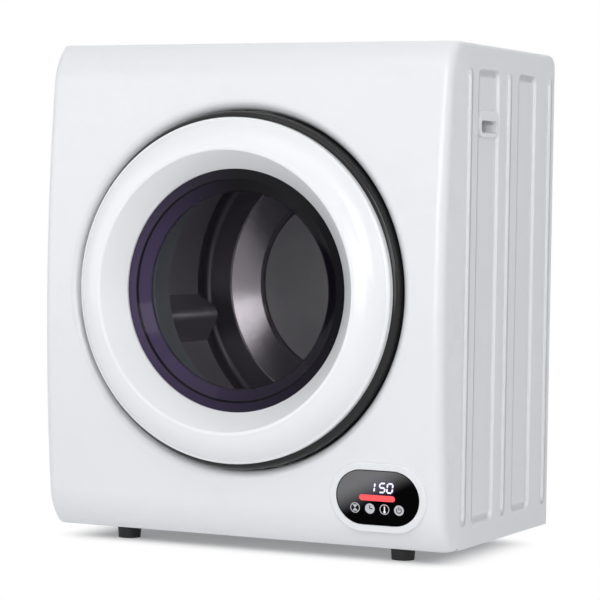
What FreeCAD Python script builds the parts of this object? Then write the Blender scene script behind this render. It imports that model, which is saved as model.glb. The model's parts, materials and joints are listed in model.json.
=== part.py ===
"""Compact vented tumble dryer: bow-fronted casing, round porthole door, belt-driven drum.

Millimetres, +Z up, +X to the right of someone facing the door, the door faces -Y.
The pieces are laid out from the plane of the front panel's top and bottom edges (y = 0) and
the floor (z = 0), and are then moved so that the origin is the bottom centre of the whole box.
"""
import FreeCAD
import Part
import math
import os

V = FreeCAD.Vector
X_AXIS = V(1, 0, 0)
Y_AXIS = V(0, 1, 0)
Z_AXIS = V(0, 0, 1)

# Casing
BODY_WIDTH = 525.0
BODY_HEIGHT = 585.0
BODY_DEPTH = 320.0
SHEET = 0.8
SEAM_Y = 26.0
CORNER_RADIUS = 5.0
TOP_BACK_RADIUS = 16.0
REAR_FLANGE = 15.0
BOTTOM_FLANGE = 12.0
FOOT_HEIGHT = 18.0
FOOT_RADIUS = 15.0
FOOT_TAPER = 1.5
FOOT_X = 184.0
FOOT_FRONT_Y = 47.0
FOOT_REAR_Y = 280.0

# Front panel
PANEL_WALL = 3.0
BOW_AHEAD = 35.0
BOW_SAG = 13.0
END_RISE = 45.0
END_RADIUS = 70.0
EDGE_RADIUS = 13.0
TONGUE_LENGTH = 9.0
TONGUE_CLEARANCE = 0.4
WELL_GAP = 1.2
WELL_FLOOR_Y = 8.0
LIP_RADIUS = 12.0
DOOR_AXIS_HEIGHT = 312.0

# Control lens and its raised surround
CONTROL_X = 182.3
CONTROL_HEIGHT = 79.5
LENS_WIDTH = 104.0
LENS_HEIGHT = 64.0
LENS_THICKNESS = 3.0
LENS_CLEARANCE = 0.3
LENS_LEDGE = 7.0
SURROUND_MARGIN = 9.0
SURROUND_RISE = 2.5
SURROUND_ROUND = 2.0
CONTROL_CASE_DEPTH = 18.0
CONTROL_CASE_WALL = 2.0
BOARD_THICKNESS = 1.6
CONTROL_PAD = 1.4

# Side pressings
BEAD_DEPTHS = (36.0, 160.0, 298.0)
BEAD_WIDTH = 9.0
BEAD_RISE = 2.2
PRESSING_SPANS = ((62.0, 130.0), (191.0, 252.0))
PRESSING_DEPTH = 3.0
PRESSING_SLOPE = 3.5
PRESSING_CORNER = 14.0
PRESSING_BOTTOM = 25.0
PRESSING_TOP = 28.0

# Side grips
GRIP_HEIGHT = 493.0
GRIP_WIDTH = 58.0
GRIP_TALL = 31.0
GRIP_CORNER = 12.0
GRIP_PROUD = 0.8
GRIP_BORDER = 5.0
GRIP_BAR = 9.0
GRIP_DEPTH = 22.0
GRIP_WALL = 2.0

# Door, from the pane outwards
PANE_RADIUS = 117.0
PANE_Y = -27.0
PANE_DISH = 6.0
CONE_WIDTH = 14.0
WINDOW_BORDER = 11.7
WINDOW_RIM_Y = -39.0
WINDOW_WALL = 3.0
WINDOW_FLANGE_WIDTH = 8.0
BEVEL_WIDTH = 24.3
RIDGE_Y = -68.0
SLOPE_WIDTH = 35.6
RING_EDGE_Y = -47.0
RING_SKIRT = 9.0
RING_WALL = 3.0
TRIM_WIDTH = 7.9
TRIM_BACK_Y = -10.0
LINER_BACK_Y = -8.0
LINER_WALL = 2.5
SEAL_INSET = 26.6
SEAL_WIDTH = 9.0
PORTHOLE_INSET = 11.0
SEAL_ROOM = 1.0
POST_RADIUS = 5.0

# Hinge, latch and door switch
HINGE_INSET = 5.6
HINGE_Y = -38.0
PIN_RADIUS = 2.5
KNUCKLE_RADIUS = 5.0
KNUCKLE_LENGTH = 43.4
EAR_THICKNESS = 6.0
EAR_WIDTH = 8.0
HINGE_ROOM = 1.0
BRACKET_THICKNESS = 2.5
STRIKE_INSET = 12.6
STRIKE_THICKNESS = 5.0
STRIKE_HEIGHT = 16.0
STRIKE_REACH = 24.0
STRIKE_SLOT_ROOM = 5.0
STRIKE_CLEARANCE = 2.0
CATCH_DEPTH = 18.0
CATCH_WALL = 2.5
PLUNGER_RADIUS = 2.5
PLUNGER_LENGTH = 7.0

# Drum
DRUM_RADIUS = 198.0
DRUM_SHEET = 0.8
DRUM_FRONT_Y = 52.0
DRUM_BACK_Y = 264.0
DRUM_MOUTH_INSET = 2.0
DRUM_CORNER = 10.0
POCKET_RADIUS = 160.0
POCKET_FLOOR_RADIUS = 127.0
POCKET_DEPTH = 20.0
SEAM_LAP = 12.0
BELT_TRACK_Y = 120.0
BELT_WIDTH = 10.0
BELT_THICKNESS = 2.0
TRACK_WIDTH = 20.0
TRACK_BEAD = 2.5
PADDLE_COUNT = 3
PADDLE_TURN = 76.0
PADDLE_BASE = 62.0
PADDLE_RISE = 36.0
PADDLE_TIP_RADIUS = 8.0
PADDLE_END_GAP = 14.0
FILTER_RADIUS = 122.0
FILTER_THICKNESS = 6.0
FILTER_HUB_RADIUS = 26.0
FILTER_SPOKES = 16
FILTER_RINGS = 3
FILTER_RIB = 5.0
SHAFT_RADIUS = 10.0
SHAFT_FLANGE_RADIUS = 45.0
SHAFT_FLANGE_THICKNESS = 3.5
BEARING_OUTER_RADIUS = 16.0
BEARING_LENGTH = 19.0
HOUSING_RADIUS = 24.0
HOUSING_FLANGE_RADIUS = 40.0
HOUSING_FLANGE_THICKNESS = 3.0
SUPPORT_THICKNESS = 2.5
SUPPORT_HEIGHT = 90.0

# Front and rear air guides
COLLAR_INSET = 15.0
COLLAR_END_Y = 78.0
SLEEVE_INSET = 7.0
GUIDE_WALL = 2.0
PLENUM_WIDTH = 33.0
PLENUM_BACK_Y = 44.0
HOT_SLOTS = 36
HOT_SLOT_WIDTH = 6.0
FELT_WIDTH = 11.0
PAN_RADIUS = 164.0
PAN_FRONT_Y = 272.0
PAN_WALL = 2.0
REAR_FELT_WIDTH = 6.0
PAN_NECK_RADIUS = 90.0
PAN_FOOT_RADIUS = 46.0
PAN_NECK_DEPTH = 15.0
DUCT_WIDTH = 73.0
DUCT_HEIGHT = 53.0
DUCT_WALL = 1.5
DUCT_SIDE_GAP = 26.0
DUCT_TOP_GAP = 32.0
DUCT_FRONT_Y = 15.0
CHUTE_WIDTH = 56.0
CHUTE_INSET = 18.7
HEATER_Y = 190.0
HEATER_LENGTH = 30.0
HEATER_FINS = 8
HEATER_FIN = 1.6

# Drive
MOTOR_X = 183.0
MOTOR_HEIGHT = 92.0
MOTOR_RADIUS = 50.0
MOTOR_FRONT_Y = 142.0
MOTOR_LENGTH = 100.0
BELL_RADIUS = 42.0
BELL_LENGTH = 12.0
MOTOR_SHAFT_RADIUS = 6.0
PULLEY_RADIUS = 8.0
PULLEY_FLANGE = 2.0
PULLEY_FLANGE_RISE = 4.0
CRADLE_PLATE = 2.0
CRADLE_RIB = 8.0
CRADLE_HALF_WIDTH = 46.0
IDLER_RADIUS = 16.0
IDLER_WIDTH = 14.0
IDLER_AXLE_RADIUS = 4.0
IDLER_ARM_THICKNESS = 3.0
IDLER_ARM_WIDTH = 14.0
IDLER_PIVOT_X = 120.0
IDLER_PIVOT_HEIGHT = 50.0
FAN_RADIUS = 48.0
FAN_DEPTH = 30.0
FAN_BLADES = 24
FAN_BLADE_THICKNESS = 1.5
FAN_BLADE_LENGTH = 14.0
FAN_HUB_RADIUS = 12.0
FAN_EYE_RADIUS = 33.0
SCROLL_RADIUS = 62.0
SCROLL_DEPTH = 44.0
SCROLL_WALL = 2.0
SCROLL_OUTLET_HEIGHT = 44.0
SCROLL_OUTLET_LENGTH = 122.0
ELBOW_WIDTH = 113.0
ELBOW_HEIGHT = 108.0
ELBOW_ROOM = 3.0
SPIGOT_RADIUS = 50.0
SPIGOT_WALL = 2.5
SPIGOT_PROJECTION = 25.0
SPIGOT_FLANGE_RADIUS = 60.0
SPIGOT_FLANGE_THICKNESS = 2.5

# Base, rear panel and small parts
TRAY_SHEET = 1.2
TRAY_FLANGE = 9.0
TRAY_FRONT_Y = 38.0
TRAY_CLEARANCE = 0.3
REAR_PANEL_MARGIN = 4.0
REAR_PRESSING_WIDTH = 330.0
REAR_PRESSING_HEIGHT = 300.0
REAR_PRESSING_RISE = 4.0
GRILLE_WIDTH = 84.0
GRILLE_HEIGHT = 64.0
GRILLE_THICKNESS = 4.0
GRILLE_SLATS = 6
GRILLE_SLAT = 3.0
GRILLE_OVERLAP = 6.0
GLAND_X = -205.0
GLAND_HEIGHT = 62.0
GLAND_RADIUS = 9.0
GLAND_BORE = 4.2
GLAND_FLANGE_RADIUS = 13.0
GLAND_FLANGE = 3.0
GLAND_REACH = 7.0
SCREW_RADIUS = 2.0
SCREW_HEAD_RADIUS = 4.0
SCREW_HEAD_HEIGHT = 2.2
SCREW_LENGTH = 8.0
SCREW_HOLE_CLEARANCE = 0.1

# Clearances shared by pieces that meet
RUNNING_GAP = 0.3
SHAFT_FIT = 0.05
ROLLER_FIT = 0.25
PRESS_FIT = 0.02

# Places that follow from the sizes above
BODY_TOP = FOOT_HEIGHT + BODY_HEIGHT
BODY_MIDDLE = FOOT_HEIGHT + BODY_HEIGHT / 2
HALF_WIDTH = BODY_WIDTH / 2
REAR_FACE_Y = BODY_DEPTH + SHEET
DEPTH_CENTRE = (RIDGE_Y + BODY_DEPTH + SPIGOT_PROJECTION) / 2
TRAY_BOTTOM = FOOT_HEIGHT + SHEET
TRAY_TOP = TRAY_BOTTOM + TRAY_SHEET
SUPPORT_FRONT_Y = BODY_DEPTH - SHEET - SUPPORT_THICKNESS
NECK_FRONT_Y = SUPPORT_FRONT_Y - PAN_NECK_DEPTH
SCROLL_FRONT_Y = NECK_FRONT_Y - SCROLL_DEPTH
POCKET_FLOOR_Y = DRUM_BACK_Y + POCKET_DEPTH
WINDOW_CONE_START = PANE_RADIUS + CONE_WIDTH
WINDOW_RIM_RADIUS = WINDOW_CONE_START + WINDOW_BORDER
RIDGE_RADIUS = WINDOW_RIM_RADIUS + BEVEL_WIDTH
RING_OUTER_RADIUS = RIDGE_RADIUS + SLOPE_WIDTH
TRIM_RADIUS = RING_OUTER_RADIUS + TRIM_WIDTH
WELL_RADIUS = TRIM_RADIUS + WELL_GAP
SEAL_RADIUS = RING_OUTER_RADIUS - SEAL_INSET
HINGE_X = HINGE_INSET - RING_OUTER_RADIUS
STRIKE_X = RING_OUTER_RADIUS - STRIKE_INSET
PORTHOLE_RADIUS = SEAL_RADIUS - PORTHOLE_INSET
DRUM_MOUTH_RADIUS = PORTHOLE_RADIUS - DRUM_MOUTH_INSET
COLLAR_RADIUS = PORTHOLE_RADIUS - COLLAR_INSET
SLEEVE_RADIUS = PORTHOLE_RADIUS - SLEEVE_INSET
PLENUM_RADIUS = PORTHOLE_RADIUS + PLENUM_WIDTH
DUCT_MIDDLE_X = DUCT_SIDE_GAP + DUCT_WIDTH / 2 - HALF_WIDTH
DUCT_MIDDLE_RISE = BODY_TOP - DUCT_TOP_GAP - DUCT_HEIGHT / 2 - DOOR_AXIS_HEIGHT
DUCT_ANGLE = math.degrees(math.atan2(DUCT_MIDDLE_RISE, DUCT_MIDDLE_X))
CHUTE_END = math.hypot(DUCT_MIDDLE_X, DUCT_MIDDLE_RISE) - CHUTE_INSET
FAR = 400.0


def export(name, shape):
    """Move a finished piece to the shared origin and write it under its node name."""
    moved = shape.copy()
    moved.translate(V(0, -DEPTH_CENTRE, 0))
    moved.exportStep("parts/" + name + ".step")


def block(x0, x1, y0, y1, z0, z1):
    """Box between two corners."""
    return Part.makeBox(x1 - x0, y1 - y0, z1 - z0, V(x0, y0, z0))


def disc(radius, y0, y1, x=0.0, z=DOOR_AXIS_HEIGHT):
    """Cylinder along Y."""
    return Part.makeCylinder(radius, y1 - y0, V(x, y0, z), Y_AXIS)


def sleeve(inner, outer, y0, y1, x=0.0, z=DOOR_AXIS_HEIGHT):
    """Round tube along Y."""
    return disc(outer, y0, y1, x, z).cut(disc(inner, y0, y1, x, z))


def outline(steps, to_vector):
    """Edges through the steps: a pair of numbers is a corner, a pair of pairs an arc (middle, end)."""
    edges = []
    here = to_vector(steps[0])
    for step in steps[1:]:
        if isinstance(step[0], tuple):
            end = to_vector(step[1])
            edges.append(Part.Arc(here, to_vector(step[0]), end).toShape())
        else:
            end = to_vector(step)
            edges.append(Part.makeLine(here, end))
        here = end
    return edges


def closed_face(steps, to_vector):
    """Flat face inside a closed outline."""
    return Part.Face(Part.Wire(outline(list(steps) + [steps[0]], to_vector)))


def turned(steps, x=0.0, z=DOOR_AXIS_HEIGHT):
    """Solid of revolution about a Y axis; the steps are (radius, y)."""
    face = closed_face(steps, lambda p: V(x + p[0], p[1], z))
    return face.revolve(V(x, 0, z), Y_AXIS, 360)


def turned_sheet(steps, thickness, x=0.0, z=DOOR_AXIS_HEIGHT):
    """Thin revolved sheet whose inner line is given and whose wall lies on the far side."""
    wire = Part.Wire(outline(steps, lambda p: V(x + p[0], p[1], z)))
    face = wire.makeOffset2D(thickness, 2, True, True, False)
    return face.revolve(V(x, 0, z), Y_AXIS, 360)


def rounded_frame(plane, u0, u1, v0, v1, radius, to_vector):
    """Closed wire of a rectangle with round corners in a plane of constant `plane` value."""
    k = radius * (1 - math.sqrt(0.5))
    steps = [
        (u0 + radius, v0), (u1 - radius, v0), ((u1 - k, v0 + k), (u1, v0 + radius)),
        (u1, v1 - radius), ((u1 - k, v1 - k), (u1 - radius, v1)),
        (u0 + radius, v1), ((u0 + k, v1 - k), (u0, v1 - radius)),
        (u0, v0 + radius), ((u0 + k, v0 + k), (u0 + radius, v0)),
    ]
    return Part.Wire(outline(steps, lambda p: to_vector(plane, p[0], p[1])))


def side_plane(x, y, z):
    """Point on a side wall, from its X, Y and Z."""
    return V(x, y, z)


def back_plane(y, x, z):
    """Point on the rear wall, from its Y, X and Z."""
    return V(x, y, z)


def tapered_pressing(to_vector, level, u0, u1, v0, v1, radius, depth, slope):
    """Sloped-sided solid of a pressing from `level`, `depth` long, narrowing by `slope` all round."""
    mouth = rounded_frame(level, u0, u1, v0, v1, radius, to_vector)
    floor = rounded_frame(level + depth, u0 + slope, u1 - slope, v0 + slope, v1 - slope,
                          radius - slope, to_vector)
    return Part.makeLoft([mouth, floor], True, True)


def mirrored(shape):
    """The same piece on the other side of the machine."""
    return shape.mirror(V(0, 0, 0), X_AXIS)


def loop_face(c1, r1, c2, r2, y):
    """Face inside the belt line round two circles, in the plane of constant y."""
    d = math.hypot(c2[0] - c1[0], c2[1] - c1[1])
    heading = math.atan2(c2[1] - c1[1], c2[0] - c1[0])
    spread = math.acos((r1 - r2) / d)

    def at(centre, radius, angle):
        return (centre[0] + radius * math.cos(angle), centre[1] + radius * math.sin(angle))

    upper = heading + spread
    lower = heading - spread
    steps = [
        at(c1, r1, lower), at(c2, r2, lower),
        (at(c2, r2, heading), at(c2, r2, upper)),
        at(c1, r1, upper),
        (at(c1, r1, heading + math.pi), at(c1, r1, lower)),
    ]
    return Part.Face(Part.Wire(outline(steps, lambda p: V(p[0], y, p[1]))))


def screw_y(x, y, z, toward):
    """Pan-head screw along Y with its head's seat at y; the shank runs toward +1 or -1."""
    shank_start = y if toward > 0 else y - SCREW_LENGTH
    head_start = y - SCREW_HEAD_HEIGHT if toward > 0 else y
    shank = disc(SCREW_RADIUS, shank_start, shank_start + SCREW_LENGTH, x, z)
    return disc(SCREW_HEAD_RADIUS, head_start, head_start + SCREW_HEAD_HEIGHT, x, z).fuse(shank)


def screw_hole_y(x, y, z, reach=SCREW_LENGTH + 2):
    """Clearance hole for a screw along Y, centred on y."""
    return disc(SCREW_RADIUS + SCREW_HOLE_CLEARANCE, y - reach, y + reach, x, z)


def bow_form(inset, back_y):
    """Bow-fronted block of the front panel, drawn in by `inset` from the outer face."""
    half_span = BODY_HEIGHT / 2 - END_RISE
    bow_radius = (half_span ** 2 + BOW_SAG ** 2) / (2 * BOW_SAG)
    lean = math.asin(half_span / bow_radius)
    main_y = bow_radius - BOW_AHEAD
    end_y = main_y - (bow_radius - END_RADIUS) * math.cos(lean)
    end_z = (bow_radius - END_RADIUS) * math.sin(lean)
    half = BODY_HEIGHT / 2 - inset
    end_radius = END_RADIUS - inset
    tip = math.asin((half - end_z) / end_radius)

    def on_end(angle, side):
        return (end_y - end_radius * math.cos(angle), side * (end_z + end_radius * math.sin(angle)))

    between = (lean + tip) / 2
    steps = [
        (back_y, half), on_end(tip, 1), (on_end(between, 1), on_end(lean, 1)),
        ((inset - BOW_AHEAD, 0.0), on_end(lean, -1)), (on_end(between, -1), on_end(tip, -1)),
        (back_y, -half),
    ]
    left = inset - HALF_WIDTH
    face = closed_face(steps, lambda p: V(left, p[0], BODY_MIDDLE + p[1]))
    solid = face.extrude(V(BODY_WIDTH - 2 * inset, 0, 0))
    side_edges = [e for e in solid.Edges
                  if e.Curve.TypeId == "Part::GeomCircle"]
    solid = solid.makeFillet(EDGE_RADIUS - inset, side_edges)
    levels = (BODY_MIDDLE - half, BODY_MIDDLE + half)
    rims = [e for e in solid.Edges
            if e.BoundBox.ZLength < 0.01 and e.BoundBox.YMin < back_y - 0.01
            and min(abs(e.BoundBox.ZMin - z) for z in levels) < 0.01]
    return solid.makeFillet(CORNER_RADIUS - min(inset, CORNER_RADIUS - 1.0), rims)


def with_well(solid, radius, floor_y, lip):
    """Sink the door well into the bowed face and roll its mouth."""
    sunk = solid.cut(disc(radius, -FAR, floor_y))
    mouths = [e for e in sunk.Edges
              if e.BoundBox.YMax < 0 and abs(e.BoundBox.XLength - 2 * radius) < 1.0]
    return sunk.makeFillet(lip, mouths)


def panel_face(height):
    """Depth of the bowed face at a height, and its lean from upright in radians."""
    half_span = BODY_HEIGHT / 2 - END_RISE
    bow_radius = (half_span ** 2 + BOW_SAG ** 2) / (2 * BOW_SAG)
    rise = height - BODY_MIDDLE
    y = bow_radius - BOW_AHEAD - math.sqrt(bow_radius ** 2 - rise ** 2)
    return y, math.asin(rise / bow_radius)


def on_control(solid):
    """Set a solid drawn flat (Z outwards) on the bowed face at the control lens."""
    y, lean = panel_face(CONTROL_HEIGHT)
    placed = solid.copy()
    placed.rotate(V(0, 0, 0), X_AXIS, 90 - math.degrees(lean))
    placed.translate(V(CONTROL_X, y, CONTROL_HEIGHT))
    return placed


def oblong(width, height, z0, z1, radius=None):
    """Upright slab with round ends, drawn flat about the origin."""
    corner = height / 2 - 0.01 if radius is None else radius
    wire = rounded_frame(z0, -width / 2, width / 2, -height / 2, height / 2, corner,
                         lambda level, u, v: V(u, v, level))
    return Part.Face(wire).extrude(V(0, 0, z1 - z0))


def control_seat():
    """Level of the flat pad behind the lens that the control case is fixed to."""
    return -PANEL_WALL - CONTROL_PAD


def front_panel():
    """Moulded front: bowed shell, rolled door well, control surround and a tongue into the cabinet."""
    outer = with_well(bow_form(0.0, SEAM_Y), WELL_RADIUS, WELL_FLOOR_Y, LIP_RADIUS)
    surround = oblong(LENS_WIDTH + 2 * SURROUND_MARGIN, LENS_HEIGHT + 2 * SURROUND_MARGIN,
                      -PANEL_WALL / 2, SURROUND_RISE)
    crown = [e for e in surround.Edges
             if e.BoundBox.ZMin > SURROUND_RISE - 0.01]
    outer = outer.fuse(on_control(surround.makeFillet(SURROUND_ROUND, crown)))
    pad = on_control(oblong(LENS_WIDTH, LENS_HEIGHT, control_seat(), 0))
    hollow = with_well(bow_form(PANEL_WALL, SEAM_Y + 1), WELL_RADIUS + PANEL_WALL,
                       WELL_FLOOR_Y + PANEL_WALL, LIP_RADIUS - PANEL_WALL)
    shell = outer.cut(hollow).fuse(pad)
    shell = shell.cut(disc(PORTHOLE_RADIUS, 0, SEAM_Y))
    pocket = oblong(LENS_WIDTH + 2 * LENS_CLEARANCE, LENS_HEIGHT + 2 * LENS_CLEARANCE,
                    SURROUND_RISE - LENS_THICKNESS, SURROUND_RISE + 1)
    window = oblong(LENS_WIDTH - 2 * LENS_LEDGE, LENS_HEIGHT - 2 * LENS_LEDGE,
                    2 * control_seat(), SURROUND_RISE)
    shell = shell.cut(on_control(pocket)).cut(on_control(window))
    reach = SHEET + TONGUE_CLEARANCE
    tongue = block(reach - HALF_WIDTH, HALF_WIDTH - reach, SEAM_Y - 4, SEAM_Y + TONGUE_LENGTH,
                   FOOT_HEIGHT + reach, BODY_TOP - reach)
    long_edges = [e for e in tongue.Edges if abs(e.BoundBox.YLength - TONGUE_LENGTH - 4) < 0.01]
    tongue = tongue.makeFillet(CORNER_RADIUS - SHEET, long_edges)
    core = block(PANEL_WALL - HALF_WIDTH, HALF_WIDTH - PANEL_WALL, 0, SEAM_Y + TONGUE_LENGTH + 1,
                 FOOT_HEIGHT + PANEL_WALL, BODY_TOP - PANEL_WALL)
    shell = shell.fuse(tongue.cut(core))
    x0, x1, z0, z1 = catch_span(0.0)
    shell = shell.cut(block(x0, x1, 0, SEAM_Y, z0, z1))
    for x, z in hinge_screw_places():
        shell = shell.cut(screw_hole_y(x, WELL_FLOOR_Y, z))
    return shell


def cabinet_box(inset, front_y):
    """Closed block of the cabinet with its rolled rear top edge and bent corners, drawn in by `inset`."""
    solid = block(inset - HALF_WIDTH, HALF_WIDTH - inset, front_y, BODY_DEPTH - inset,
                  FOOT_HEIGHT + inset, BODY_TOP - inset)
    back = BODY_DEPTH - inset - 0.01
    top = BODY_TOP - inset - 0.01
    rear_top = [e for e in solid.Edges if e.BoundBox.YMin > back and e.BoundBox.ZMin > top]
    solid = solid.makeFillet(TOP_BACK_RADIUS - inset, rear_top)
    sides = [e for e in solid.Edges
             if e.BoundBox.XLength < 0.01
             and (e.BoundBox.ZMin > top or e.BoundBox.YMin > back
                  or e.Curve.TypeId == "Part::GeomCircle")]
    return solid.makeFillet(CORNER_RADIUS - inset, sides)


def side_bead(y, level):
    """Half-round bead up the right-hand side, its crown standing `level` + rise from the middle."""
    radius = (BEAD_WIDTH ** 2 / 4 + BEAD_RISE ** 2) / (2 * BEAD_RISE)
    x = level + BEAD_RISE - radius
    bottom = FOOT_HEIGHT + PRESSING_BOTTOM + radius
    top = BODY_TOP - PRESSING_TOP - radius
    rod = Part.makeCylinder(radius, top - bottom, V(x, y, bottom), Z_AXIS)
    ends = [Part.makeSphere(radius, V(x, y, z)) for z in (bottom, top)]
    return rod.fuse(ends)


def pressed_side():
    """Right-hand wall tools: what the beads and pressings add to the sheet and what they take away."""
    added = []
    taken = []
    for y in BEAD_DEPTHS:
        outside = block(HALF_WIDTH - SHEET, FAR, 0, FAR, 0, BODY_TOP)
        added.append(side_bead(y, HALF_WIDTH).common(outside))
        taken.append(side_bead(y, HALF_WIDTH - SHEET))
    for y0, y1 in PRESSING_SPANS:
        hollow = tapered_pressing(side_plane, HALF_WIDTH, y0, y1, FOOT_HEIGHT + PRESSING_BOTTOM,
                                  BODY_TOP - PRESSING_TOP, PRESSING_CORNER, -PRESSING_DEPTH,
                                  PRESSING_SLOPE)
        wall = tapered_pressing(side_plane, HALF_WIDTH - SHEET, y0 - SHEET / 2, y1 + SHEET / 2,
                                FOOT_HEIGHT + PRESSING_BOTTOM - SHEET / 2,
                                BODY_TOP - PRESSING_TOP + SHEET / 2, PRESSING_CORNER + SHEET / 2,
                                -PRESSING_DEPTH, PRESSING_SLOPE)
        added.append(wall)
        taken.append(hollow)
    return added, taken


def grip_centre():
    """Middle of the grip along the machine's depth: the middle of the front pressing."""
    return sum(PRESSING_SPANS[0]) / 2


def cabinet_wrap():
    """Folded steel cover: both sides, top and rear flanges in one sheet, with pressed sides."""
    wrap = cabinet_box(0.0, SEAM_Y).cut(cabinet_box(SHEET, SEAM_Y - 1))
    wrap = wrap.cut(block(REAR_FLANGE - HALF_WIDTH, HALF_WIDTH - REAR_FLANGE, BODY_DEPTH - 2, FAR,
                          FOOT_HEIGHT + REAR_FLANGE, BODY_TOP - TOP_BACK_RADIUS - REAR_FLANGE))
    wrap = wrap.cut(block(BOTTOM_FLANGE - HALF_WIDTH, HALF_WIDTH - BOTTOM_FLANGE, SEAM_Y - 1,
                          BODY_DEPTH - BOTTOM_FLANGE, 0, FOOT_HEIGHT + 2 * SHEET))
    added, taken = pressed_side()
    wrap = wrap.fuse(added + [mirrored(s) for s in added])
    wrap = wrap.cut(Part.makeCompound(taken + [mirrored(s) for s in taken]))
    opening = block(HALF_WIDTH - 4 * PRESSING_DEPTH, HALF_WIDTH, *grip_body_span(GRIP_WALL + RUNNING_GAP))
    wrap = wrap.cut(opening).cut(mirrored(opening))
    for x, z in rear_screw_places():
        wrap = wrap.cut(screw_hole_y(x, BODY_DEPTH, z))
    return wrap


def grip_body_span(grow):
    """Y and Z limits of the grip's finger pocket, grown all round."""
    middle = grip_centre()
    half = GRIP_WIDTH / 2 - GRIP_BORDER
    return (middle - half - grow, middle + half + grow,
            GRIP_HEIGHT + FOOT_HEIGHT - GRIP_TALL / 2 + GRIP_BORDER - grow,
            GRIP_HEIGHT + FOOT_HEIGHT + GRIP_TALL / 2 - GRIP_BORDER / 2 + grow)


def side_grip():
    """Moulded finger grip for the right-hand side: bezel, pull bar and a pocket hooked up behind it."""
    middle = grip_centre()
    centre = GRIP_HEIGHT + FOOT_HEIGHT
    floor = HALF_WIDTH - PRESSING_DEPTH
    bezel_wire = rounded_frame(floor, middle - GRIP_WIDTH / 2, middle + GRIP_WIDTH / 2,
                               centre - GRIP_TALL / 2, centre + GRIP_TALL / 2, GRIP_CORNER, side_plane)
    bezel = Part.Face(bezel_wire).extrude(V(PRESSING_DEPTH + GRIP_PROUD, 0, 0))
    rim = [e for e in bezel.Edges if e.BoundBox.XMin > HALF_WIDTH]
    bezel = bezel.makeFillet(GRIP_PROUD, rim)
    y0, y1, z0, z1 = grip_body_span(GRIP_WALL)
    cup = block(floor - GRIP_DEPTH, floor + 0.5, y0, y1, z0, z1)
    y0, y1, z0, z1 = grip_body_span(0.0)
    behind = block(floor - GRIP_DEPTH + GRIP_WALL, floor - GRIP_WALL, y0, y1, z0, z1)
    scoop = [e for e in behind.Edges
             if e.BoundBox.XMax < floor - GRIP_DEPTH + GRIP_WALL + 0.01 and e.BoundBox.YLength > GRIP_BAR]
    behind = behind.makeFillet(GRIP_CORNER / 2, scoop)
    mouth = block(floor - GRIP_DEPTH / 2, HALF_WIDTH + 2 * GRIP_PROUD, y0, y1, z0, z1 - GRIP_BAR)
    corners = [e for e in mouth.Edges if e.BoundBox.XLength > GRIP_BAR]
    mouth = mouth.makeFillet(GRIP_BORDER, corners)
    return bezel.fuse(cup).cut(behind).cut(mouth)


def round_uprights(solid, radius):
    """Round the upright edges of a box."""
    uprights = [e for e in solid.Edges if e.BoundBox.XLength + e.BoundBox.YLength < 0.01]
    return solid.makeFillet(radius, uprights)


def base_tray():
    """Pressed base pan with turned-up edges that carries the motor and the feet."""
    side = HALF_WIDTH - SHEET - TRAY_CLEARANCE
    back = BODY_DEPTH - SHEET - TRAY_CLEARANCE
    pan = block(-side, side, TRAY_FRONT_Y, back, TRAY_BOTTOM, TRAY_TOP + TRAY_FLANGE)
    inside = block(TRAY_SHEET - side, side - TRAY_SHEET, TRAY_FRONT_Y + TRAY_SHEET, back - TRAY_SHEET,
                   TRAY_TOP, TRAY_TOP + 2 * TRAY_FLANGE)
    pan = round_uprights(pan, CORNER_RADIUS).cut(round_uprights(inside, CORNER_RADIUS - TRAY_SHEET))
    for x, y in foot_places():
        hole = Part.makeCylinder(SCREW_RADIUS + SCREW_HOLE_CLEARANCE, 4 * TRAY_SHEET,
                                 V(x, y, TRAY_BOTTOM - TRAY_SHEET), Z_AXIS)
        pan = pan.cut(hole)
    for x, z in rear_screw_places():
        pan = pan.cut(screw_hole_y(x, BODY_DEPTH, z))
    return pan


def foot_places():
    """Centres of the four feet."""
    return [(x, y) for y in (FOOT_FRONT_Y, FOOT_REAR_Y) for x in (-FOOT_X, FOOT_X)]


def foot(x, y):
    """Rubber foot, slightly tapered, with a screw well from below."""
    body = Part.makeCone(FOOT_RADIUS - FOOT_TAPER, FOOT_RADIUS, TRAY_BOTTOM, V(x, y, 0), Z_AXIS)
    well = Part.makeCylinder(SCREW_HEAD_RADIUS + 1, TRAY_BOTTOM / 2, V(x, y, 0), Z_AXIS)
    hole = Part.makeCylinder(SCREW_RADIUS + SCREW_HOLE_CLEARANCE, TRAY_BOTTOM, V(x, y, 0), Z_AXIS)
    return body.cut(well).cut(hole)


def foot_screws():
    """Screws up through the feet into the base pan."""
    seat = TRAY_BOTTOM / 2
    screws = []
    for x, y in foot_places():
        head_foot = V(x, y, seat - SCREW_HEAD_HEIGHT)
        head = Part.makeCylinder(SCREW_HEAD_RADIUS, SCREW_HEAD_HEIGHT, head_foot, Z_AXIS)
        shank = Part.makeCylinder(SCREW_RADIUS, TRAY_TOP - seat + TRAY_SHEET, V(x, y, seat), Z_AXIS)
        screws.append(head.fuse(shank))
    return Part.makeCompound(screws)


def rear_screw_places():
    """Screws round the rear panel, through the cabinet's rear flanges."""
    x = HALF_WIDTH - REAR_FLANGE / 2 - 1
    low = FOOT_HEIGHT + REAR_FLANGE / 2 + 1
    high = BODY_TOP - TOP_BACK_RADIUS - REAR_FLANGE / 2
    levels = [low + (high - low) * i / 3 for i in range(4)]
    places = [(side * x, z) for z in levels for side in (-1, 1)]
    return places + [(-HALF_WIDTH / 2, low), (HALF_WIDTH / 2, low), (0.0, high)]


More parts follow.
